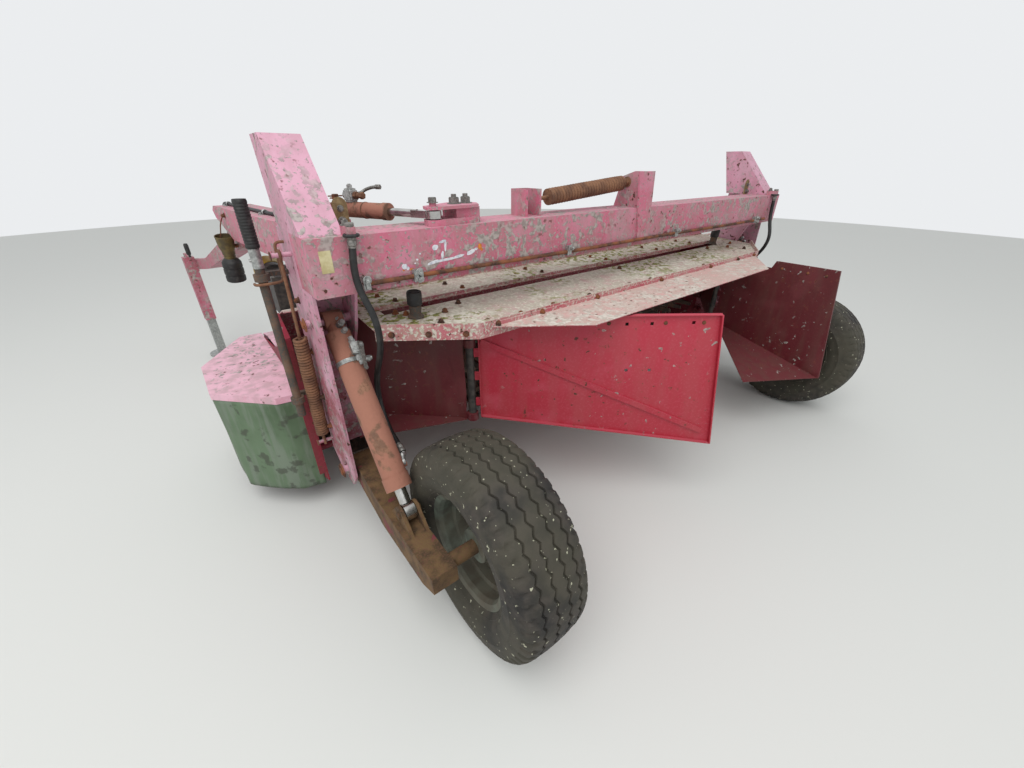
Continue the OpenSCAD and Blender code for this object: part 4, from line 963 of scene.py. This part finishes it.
def scrap(bm, x, z, wide, high, turn=0.0, layer=0, corners=14):
    """A torn piece of film: a thin shape whose outline wanders. Later layers lie over earlier ones."""
    outline = []
    for k in range(corners):
        a = math.tau * k / corners
        r = random.uniform(0.78, 1.0)
        outline.append((wide / 2 * r * math.cos(a), high / 2 * r * math.sin(a)))
    place = spot(x, 0.0001 - 0.0002 * layer, z)
    plate(bm, outline, 0.0006, Matrix.Translation(place) @ upright @ Matrix.Rotation(turn, 4, "Z"), 0)


# scraps of film: place along the beam, height, width, depth and turn
WHITE_SCRAPS = (
    (0.445, 1.230, 0.150, 0.010, 0.05), (0.400, 1.227, 0.060, 0.012, 0.2),
    (0.505, 1.236, 0.050, 0.011, 0.1), (0.438, 1.248, 0.012, 0.030, -0.2),
    (0.452, 1.276, 0.010, 0.044, -0.1), (0.442, 1.293, 0.034, 0.010, 0.2),
    (0.557, 1.244, 0.044, 0.018, 0.3), (0.580, 1.253, 0.016, 0.010, 0.0),
    (0.291, 1.227, 0.022, 0.020, 0.5), (0.303, 1.220, 0.012, 0.014, 0.0),
    (0.340, 1.244, 0.009, 0.007, 0.0), (0.352, 1.262, 0.008, 0.006, 0.0),
    (0.331, 1.233, 0.007, 0.005, 0.0), (0.412, 1.276, 0.026, 0.020, 0.4))
ORANGE_SCRAPS = ((0.598, 1.259, 0.020, 0.026), (0.606, 1.248, 0.010, 0.012),
                 (0.316, 1.215, 0.018, 0.008), (0.287, 1.216, 0.009, 0.007))
white_film = soft_finish("white film", "#dcdde2", "#b9bcc6", 12, 0.55, 0.5, 0.05)
orange_film = soft_finish("orange film", "#d8872f", "#b5651f", 10, 0.5, 0.6, 0.05)
random.seed(11)
bm = bmesh.new()
for i, row in enumerate(WHITE_SCRAPS):
    scrap(bm, *row, layer=i % 4)
new_object("torn_film", bm, white_film, "frame")
bm = bmesh.new()
for row in ORANGE_SCRAPS:
    scrap(bm, *row)
new_object("film_glue", bm, orange_film, "frame")

# %% Hose plates, elbow nuts and grommets
PLATE_X = 0.168
ELBOW = LIFT_ROUTE[0][:2]
plates, nuts, rings = bmesh.new(), bmesh.new(), bmesh.new()
outline = [(-0.024, 0.0), (0.024, 0.0), (0.024, 0.070)]
outline += [(x, 0.072 + y) for x, y in arc(0.024, 15, 180, 15)] + [(-0.024, 0.070)]
lip = [(0.0195 + x, y) for x, y in arc(0.0050, 0, 361, 30)]
for side, right in SIDES:
    plate(plates, outline, 0.006, Matrix.Translation(spot(PLATE_X, 0.172, 1.3402, right)) @ upright, 0.0012)
    bolt(nuts, spot(PLATE_X, 0.166, 1.362, right), BACK, 0.019, 0.006)
    bolt(nuts, spot(PLATE_X, 0.166, 1.402, right), BACK, 0.013, 0.0)
    lathe(nuts, tip(0.0135, 0.010), stand(spot(*ELBOW, 1.3690, right), UP), 6)
    bolt(nuts, spot(ELBOW[0], 0.018, 1.368, right), UP, 0.019, 0.004)
    lathe(rings, lip, stand(spot(*ELBOW, 1.3440, right), UP), 28)
tan_paint = soft_finish("tan plate", "#8d7a55", "#6f5c3c", 16, 0.5, 0.7, 0.2)
piece("hose_plates", plates, tan_paint)
piece("elbow_nuts", nuts, bare_edge)
piece("grommets", rings, grip_rubber)

# %% [markdown]
# ## The swing cylinder, the drawbar and the drive shaft
#
# The swing cylinder has its valve block on its barrel and a pipe that rises to the hose. Two
# big nuts hold the bracket where its rod ends. The drive shaft's rear part hangs beside the
# drawbar with its guard bell open, so the cross of its joint shows inside.

# %% Fittings of the swing cylinder
SWING_PIN, SWING_EYE, SWING_Z = (0.111, 0.088), (0.440, 0.045), 1.376
swing_low, swing_high = by_drawbar(*SWING_PIN, SWING_Z), spot(*SWING_EYE, SWING_Z)
swing_along = (swing_high - swing_low).normalized()
swing_side = Vector((-swing_along.y, swing_along.x, 0))


def on_swing(t, aside=0.0, up=0.0):
    """The point t along the cylinder from its pin on the drawbar, and aside of and above its axis."""
    return swing_low + swing_along * t + swing_side * aside + UP * up


BLOCK_T, BLOCK_UP = 0.085, 0.050
block_at = on_swing(BLOCK_T, up=BLOCK_UP)
bm = bmesh.new()
block(bm, (0.042, 0.040, 0.046), 0.006,
      Matrix.Translation(block_at) @ Matrix.Rotation(math.atan2(swing_along.y, swing_along.x), 4, "Z"), 3)
bolt(bm, block_at + UP * 0.022, UP, 0.019, 0.003)
bolt(bm, block_at - swing_along * 0.020, -swing_along, 0.022, 0.0, False)
bolt(bm, block_at + swing_side * 0.019, swing_side, 0.019, 0.002, False)
piece("swing_valve_block", bm, zinc, "swing_barrel_body")

bm = bmesh.new()
bolt(bm, block_at + swing_along * 0.020, swing_along, 0.024, 0.0, False)
lathe(bm, tip(0.009, 0.030), aim(block_at + swing_along * 0.030, block_at + swing_along), 16)
bolt(bm, block_at + swing_along * 0.052, swing_along, 0.022, 0.0, False)
for t in (0.030, 0.150):
    lathe(bm, band(0.0279, 0.0298, 0.006), stand(on_swing(t), swing_along), 32)
lathe(bm, tip(0.012, 0.006), stand(on_swing(BLOCK_T, up=0.025), UP), 20)
piece("swing_unions", bm, spring_rust, "swing_barrel_body")

# the pipe leaves the block sideways, then turns along the cylinder and ends in a nut
bm = bmesh.new()
route = ((0, 0.030, 0.004), (0, 0.052, 0.006), (0.012, 0.066, 0.016), (0.040, 0.070, 0.024),
         (0.070, 0.070, 0.027))
pipe = [on_swing(BLOCK_T + t, aside, BLOCK_UP + up) for t, aside, up in route]
sweep(bm, through(pipe), 0.006, 12)
lathe(bm, tip(0.0095, 0.020), stand(pipe[-1] - swing_along * 0.004, swing_along), 6)
piece("swing_pipe", bm, bare_edge, "swing_barrel_body")

bm = bmesh.new()
for x, y in ((0.552, 0.090), (0.606, 0.098)):
    bolt(bm, spot(x, y, 1.4022), UP, 0.032, 0.010)
bolt(bm, spot(*SWING_EYE, 1.4132), UP, 0.024, 0.0)
piece("clevis_nuts", bm, bare_edge)
bm = bmesh.new()
pin = by_drawbar(*SWING_PIN, 1.4122)
lathe(bm, [(0, 0), (0.021, 0), (0.021, 0.003), (0.019, 0.004), (0.0125, 0.0042), (0.0125, 0.014),
           (0.0105, 0.016), (0, 0.016)], stand(pin, UP), 28)
split_pin = [pin + Vector(p) for p in ((-0.026, 0.004, 0.009), (0.024, -0.002, 0.009), (0.030, 0.004, 0.009))]
sweep(bm, split_pin, 0.0024, 8)
piece("swing_pin_cap", bm, brown_rust, "drawbar_body")

# %% Drive shaft with its bells
low, high = by_drawbar(-0.107, 1.092, 1.010), by_drawbar(-0.110, 1.062, 1.178)
up = (high - low).normalized()
n = (high - low).length
bm = bmesh.new()
lathe(bm, [(0, -0.060), (0.030, -0.060), (0.047, -0.054), (0.048, -0.050), (0.048, -0.030), (0.044, -0.020),
           (0.048, -0.014), (0.048, 0.010), (0.044, 0.018), (0.048, 0.024), (0.047, 0.048), (0.040, 0.060),
           (0.030, 0.068), (0.027, 0.072), (0.0, 0.072)], aim(low, high), 40)
piece("shaft_boot", bm, grip_rubber, "drawbar_body")

# the tube widens into a bell whose wall turns back inside, so that it is open at its mouth
bm = bmesh.new()
lathe(bm, [(0, 0.060), (0.0265, 0.060), (0.0265, n - 0.080), (0.030, n - 0.078), (0.031, n - 0.060),
           (0.037, n - 0.040), (0.0405, n - 0.010), (0.0420, n + 0.012), (0.0435, n + 0.016),
           (0.0425, n + 0.020), (0.0390, n + 0.019), (0.0375, n - 0.008), (0.0340, n - 0.038),
           (0.0, n - 0.044)], aim(low, high), 40)
for t in (0.078, 0.128):
    lathe(bm, band(0.0260, 0.0285, 0.006), aim(low + up * t, high), 32)
dull_yellow = soft_finish("dull yellow guard", "#6e6135", "#4c4229", 30, 0.5, 0.6, 0.2, "#4a3b28")
shaft_tube = piece("shaft_tube", bm, dull_yellow, "drawbar_body")
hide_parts("drive_shaft")

bm = bmesh.new()
mouth = low + up * (n - 0.030)
for way in (Vector((1, 0, 0)), AHEAD):
    a, b = mouth + up * 0.024 - way * 0.026, mouth + up * 0.024 + way * 0.026
    lathe(bm, [(0, 0), (0.008, 0), (0.008, 0.010), (0.006, 0.011), (0.006, 0.041), (0.008, 0.042),
               (0.008, 0.052), (0, 0.052)], aim(a, b), 16)
lathe(bm, tip(0.014, 0.030), aim(mouth - up * 0.020, mouth + up), 20)
piece("joint_cross", bm, brown_rust, "drawbar_body")

# the rod that the shaft rests on, and the wire hook that holds it up
bm = bmesh.new()
sweep(bm, [by_drawbar(x, 1.069, 1.140) for x in (-0.0553, -0.084)], 0.010, 12)
hook = [by_drawbar(*p) for p in (
    (-0.088, 0.990, 1.300), (-0.100, 0.992, 1.296), (-0.116, 1.010, 1.260), (-0.124, 1.030, 1.215),
    (-0.134, 1.046, 1.176), (-0.143, 1.062, 1.150), (-0.132, 1.070, 1.128), (-0.110, 1.060, 1.124))]
sweep(bm, through(hook), 0.0028, 8)
bolt(bm, by_drawbar(-0.0902, 0.990, 1.300), drawbar_turn @ Vector((-1, 0, 0)), 0.017, 0.004)
piece("shaft_rest", bm, brown_rust, "drawbar_body")

# %% Gearbox, jack and hitch
BOX_TOP_Z = 1.0502
bm = bmesh.new()
for x in (0.030, 0.190):
    for y in (0.945, 1.165):
        bolt(bm, spot(x, y, BOX_TOP_Z), UP, 0.019, 0.004)
for dx, dz in arc(0.052, 0, 360, 60):
    bolt(bm, spot(0.080 + dx, 1.2602, 1.005 + dz), AHEAD, 0.013, 0.0, False)
lathe(bm, [(0, 0), (0.022, 0), (0.022, 0.006), (0.014, 0.008), (0.014, 0.018), (0.018, 0.020), (0.018, 0.026),
           (0.012, 0.030), (0, 0.030)], stand(spot(0.110, 1.055, BOX_TOP_Z), UP), 24)
piece("gearbox_bolts", bm, bare_edge)

bm = bmesh.new()
crank = by_drawbar(-0.097, 2.570, 0.876)
lathe(bm, tip(0.0085, 0.060), aim(crank + AHEAD * 0.002, crank + UP), 16)
lathe(bm, [(0, 0.018), (0.013, 0.018), (0.016, 0.030), (0.016, 0.090), (0.012, 0.104), (0.0, 0.106)],
      stand(crank, UP), 24)
piece("jack_knob", bm, grip_rubber, "drawbar_body")

bm = bmesh.new()
drawbar_ahead = drawbar_turn @ AHEAD
for x in (-0.030, 0.030):
    for z in (0.672, 0.728):
        bolt(bm, by_drawbar(x, 3.3065, z), drawbar_ahead, 0.019, 0.004)
for x in (-0.070, 0.070):
    for y in (0.160, 0.220):
        bolt(bm, by_drawbar(x, y, DRAWBAR_TOP_Z), UP, 0.019, 0.005)
piece("drawbar_bolts", bm, bare_edge, "drawbar_body")

# clips that hold the swing hose down
CLIP_R = 0.0105
bm = bmesh.new()
for x, y in ((-0.0305, 0.520), (-0.028, 0.860), (-0.026, 1.130)):
    foot_z = DRAWBAR_TOP_Z + 0.0003
    arch = [by_drawbar(x + dx, y, 1.3430 + dz) for dx, dz in arc(CLIP_R, 0, 181, 20)]
    strap(bm, [by_drawbar(x + CLIP_R, y, foot_z)] + arch + [by_drawbar(x - CLIP_R, y, foot_z)], drawbar_ahead)
    bolt(bm, by_drawbar(x - 0.020, y, DRAWBAR_TOP_Z), UP, 0.012, 0.0)
piece("hose_clips", bm, zinc, "drawbar_body")

# %% Prop pole's grip, collar and hook
POLE = (-0.092, 0.300)
grip = [(0, -0.002), (0.0200, -0.002), (0.0212, 0.002)]
for k in range(14):
    z = 0.008 + k * 0.0092
    grip += [(0.0212, z), (0.0200, z + 0.002), (0.0200, z + 0.004), (0.0212, z + 0.006)]
grip += [(0.0212, 0.138), (0.0195, 0.1445), (0.0, 0.1455)]
bm = bmesh.new()
lathe(bm, grip, stand(spot(*POLE, 1.290), UP), 28)
piece("pole_grip", bm, grip_rubber)
bm = bmesh.new()
lathe(bm, [(0.0149, 0), (0.0172, 0.001), (0.0172, 0.064), (0.0149, 0.066)], stand(spot(*POLE, 1.222), UP), 28)
bolt(bm, spot(POLE[0] - 0.0158, POLE[1], 1.250), Vector((-1, 0, 0)), 0.010, 0.0, False)
piece("pole_collar", bm, zinc)
bm = bmesh.new()
hook = [spot(*p) for p in (
    (0.0005, 0.290, 1.300), (-0.018, 0.290, 1.300), (-0.028, 0.290, 1.292), (-0.030, 0.290, 1.270),
    (-0.030, 0.290, 1.220), (-0.030, 0.288, 1.186), (-0.040, 0.284, 1.174), (-0.070, 0.278, 1.172),
    (-0.100, 0.278, 1.172), (-0.116, 0.286, 1.172), (-0.118, 0.304, 1.172))]
sweep(bm, through(hook), 0.0048, 10)
piece("pole_hook", bm, spring_rust)

# %% [markdown]
# ## On the deck, the legs and the boards
#
# The deck carries bolts gone brown, and at each end a rubber cap over a stud. Its plane rises a
# little towards the front, so a part that stands on it takes its height from that slope. The
# boards turn on rods that were painted black; the rest of a board is folded from one sheet.

# %% Deck parts
DECK_REAR_Y, DECK_REAR_Z, DECK_FRONT_Y, DECK_FRONT_Z = -0.150, 1.000, 0.430, 1.036
deck_slope = math.atan2(DECK_FRONT_Z - DECK_REAR_Z, DECK_FRONT_Y - DECK_REAR_Y)
deck_up = Vector((0, -math.sin(deck_slope), math.cos(deck_slope)))


def on_deck(x, y, above=0.004, right=False):
    """A point on the deck's sheet, y being forward of the beam's rear face."""
    return spot(x, y, DECK_REAR_Z + (y - DECK_REAR_Y) * math.tan(deck_slope), right) + deck_up * above


bm = bmesh.new()
for x, y in ((0.296, 0.150), (0.325, 0.118), (0.398, -0.020), (0.465, 0.066), (0.560, 0.120),
             (0.700, -0.120), (0.877, -0.118), (1.100, -0.120), (1.560, -0.120), (1.600, 0.110),
             (2.080, -0.120), (2.560, 0.120), (2.735, 0.066), (2.802, -0.020), (2.875, 0.118)):
    bolt(bm, on_deck(x, y), deck_up, 0.017, 0.003)
for x in (0.300, 0.620, 1.100, 1.600, 2.100, 2.500):
    for dx, y in ((0.0, 0.330), (0.04, 0.245)):
        bolt(bm, on_deck(x + dx, y, 0.018), deck_up, 0.015, 0.0)
for x in (0.560, 0.780, 1.110, 1.600, 2.090, 2.420, 2.640):
    bolt(bm, spot(x, -0.1565, 1.0110), BACK, 0.015, 0.002)
# on the slanting rims at the deck's ends
for side, right in SIDES:
    a, b = spot(0.168, 0.040, 1.000, right), spot(0.485, -0.150, 0.988, right)
    out = Vector((b.y - a.y, a.x - b.x, 0)).normalized()
    if out.y > 0:
        out.negate()
    for t in (0.15, 0.5, 0.86):
        bolt(bm, a.lerp(b, t) + out * 0.0022, out, 0.015, 0.0)
piece("deck_bolts", bm, brown_rust)

caps, bases = bmesh.new(), bmesh.new()
for x, y, right in ((0.347, 0.080, False), (0.460, 0.180, True)):
    foot = on_deck(x, y, 0.004, right)
    lathe(bases, [(0, 0), (0.030, 0), (0.031, 0.004), (0.024, 0.008), (0.021, 0.020), (0.0235, 0.034),
                  (0.022, 0.050), (0, 0.050)], stand(foot, deck_up), 28)
    lathe(caps, [(0, 0), (0.025, 0), (0.028, 0.003), (0.0278, 0.044), (0.026, 0.050), (0.020, 0.052),
                 (0.017, 0.0495), (0, 0.049)], stand(foot + deck_up * 0.0495, deck_up), 32)
piece("stud_caps", caps, grip_rubber)
piece("stud_bases", bases, worn_steel)

# %% Bolts and pins on the legs
PIVOT_PINS = ((*LIFT_TOP[1:], 0.015, -0.0162), (LEG_PIVOT_Y, LEG_PIVOT_Z, 0.022, -0.0202))
bm = bmesh.new()
for side, right in SIDES:
    out = -inwards(right)
    for z in (1.100, 0.900, 0.700, 0.560):
        bolt(bm, spot(-0.0002, 0.282, z, right), out, 0.017, 0.004)
    # each pin's end with its washer, and the split pin through it
    for y, z, r, x in PIVOT_PINS:
        foot = spot(x, y, z, right)
        lathe(bm, [(0, 0), (r + 0.010, 0), (r + 0.010, 0.003), (r + 0.008, 0.004), (r - 0.003, 0.0042),
                   (r - 0.003, 0.010), (0, 0.010)], stand(foot, out), 28)
        split_pin = ((-r - 0.006, -0.004), (r + 0.004, 0.003), (r + 0.010, 0.010))
        sweep(bm, [foot + out * 0.007 + Vector((0, dy, dz)) for dy, dz in split_pin], 0.0022, 8)
    for y, z in (SPRING_TOP, SPRING_FOOT):
        lathe(bm, [(0, 0), (0.014, 0), (0.014, 0.0025), (0.012, 0.003), (0, 0.003)],
              stand(spot(-0.0602, y, z, right), out), 20)
piece("leg_bolts", bm, brown_rust)

# %% Boards: hinge sleeves and rivets
# the angle that each board stands open by, and its length
BOARDS = {"left": (53, 1.040), "right": (2, 0.680)}
for side, right in SIDES:
    body = f"swath_board_{side}_body"
    open_by, length = BOARDS[side]
    bm = bmesh.new()
    lathe(bm, band(0.0159, 0.0172, 0.323), stand(spot(*BOARD_HINGE, 0.535, right), UP), 32)
    lathe(bm, band(0.0159, 0.0225, 0.0055, 0.0005), stand(spot(*BOARD_HINGE, 0.8945, right), UP), 32)
    piece(f"hinge_sleeve_{side}", bm, black_iron, body)

    turn = math.radians(open_by - 90)
    mirror = inwards(right).x
    sheet_way = Vector((math.cos(turn) * mirror, math.sin(turn), 0))
    out = Vector((-math.sin(turn) * mirror, math.cos(turn), 0))
    bm = bmesh.new()
    for t in (0.06, 0.30, 0.55, 0.80, 0.97):
        along = 0.060 + (length - 0.10) * t
        # the board's upper edge is lower beside its hinge
        foot = spot(*BOARD_HINGE, 0.925 if along < 0.330 else 0.955, right) + sheet_way * along
        for way in (out, -out):
            lathe(bm, [(0, 0), (0.0085, 0), (0.0080, 0.002), (0.005, 0.0038), (0, 0.0045)],
                  aim(foot + way * 0.0021, foot + way), 16)
    piece(f"board_rivets_{side}", bm, brown_rust, body)
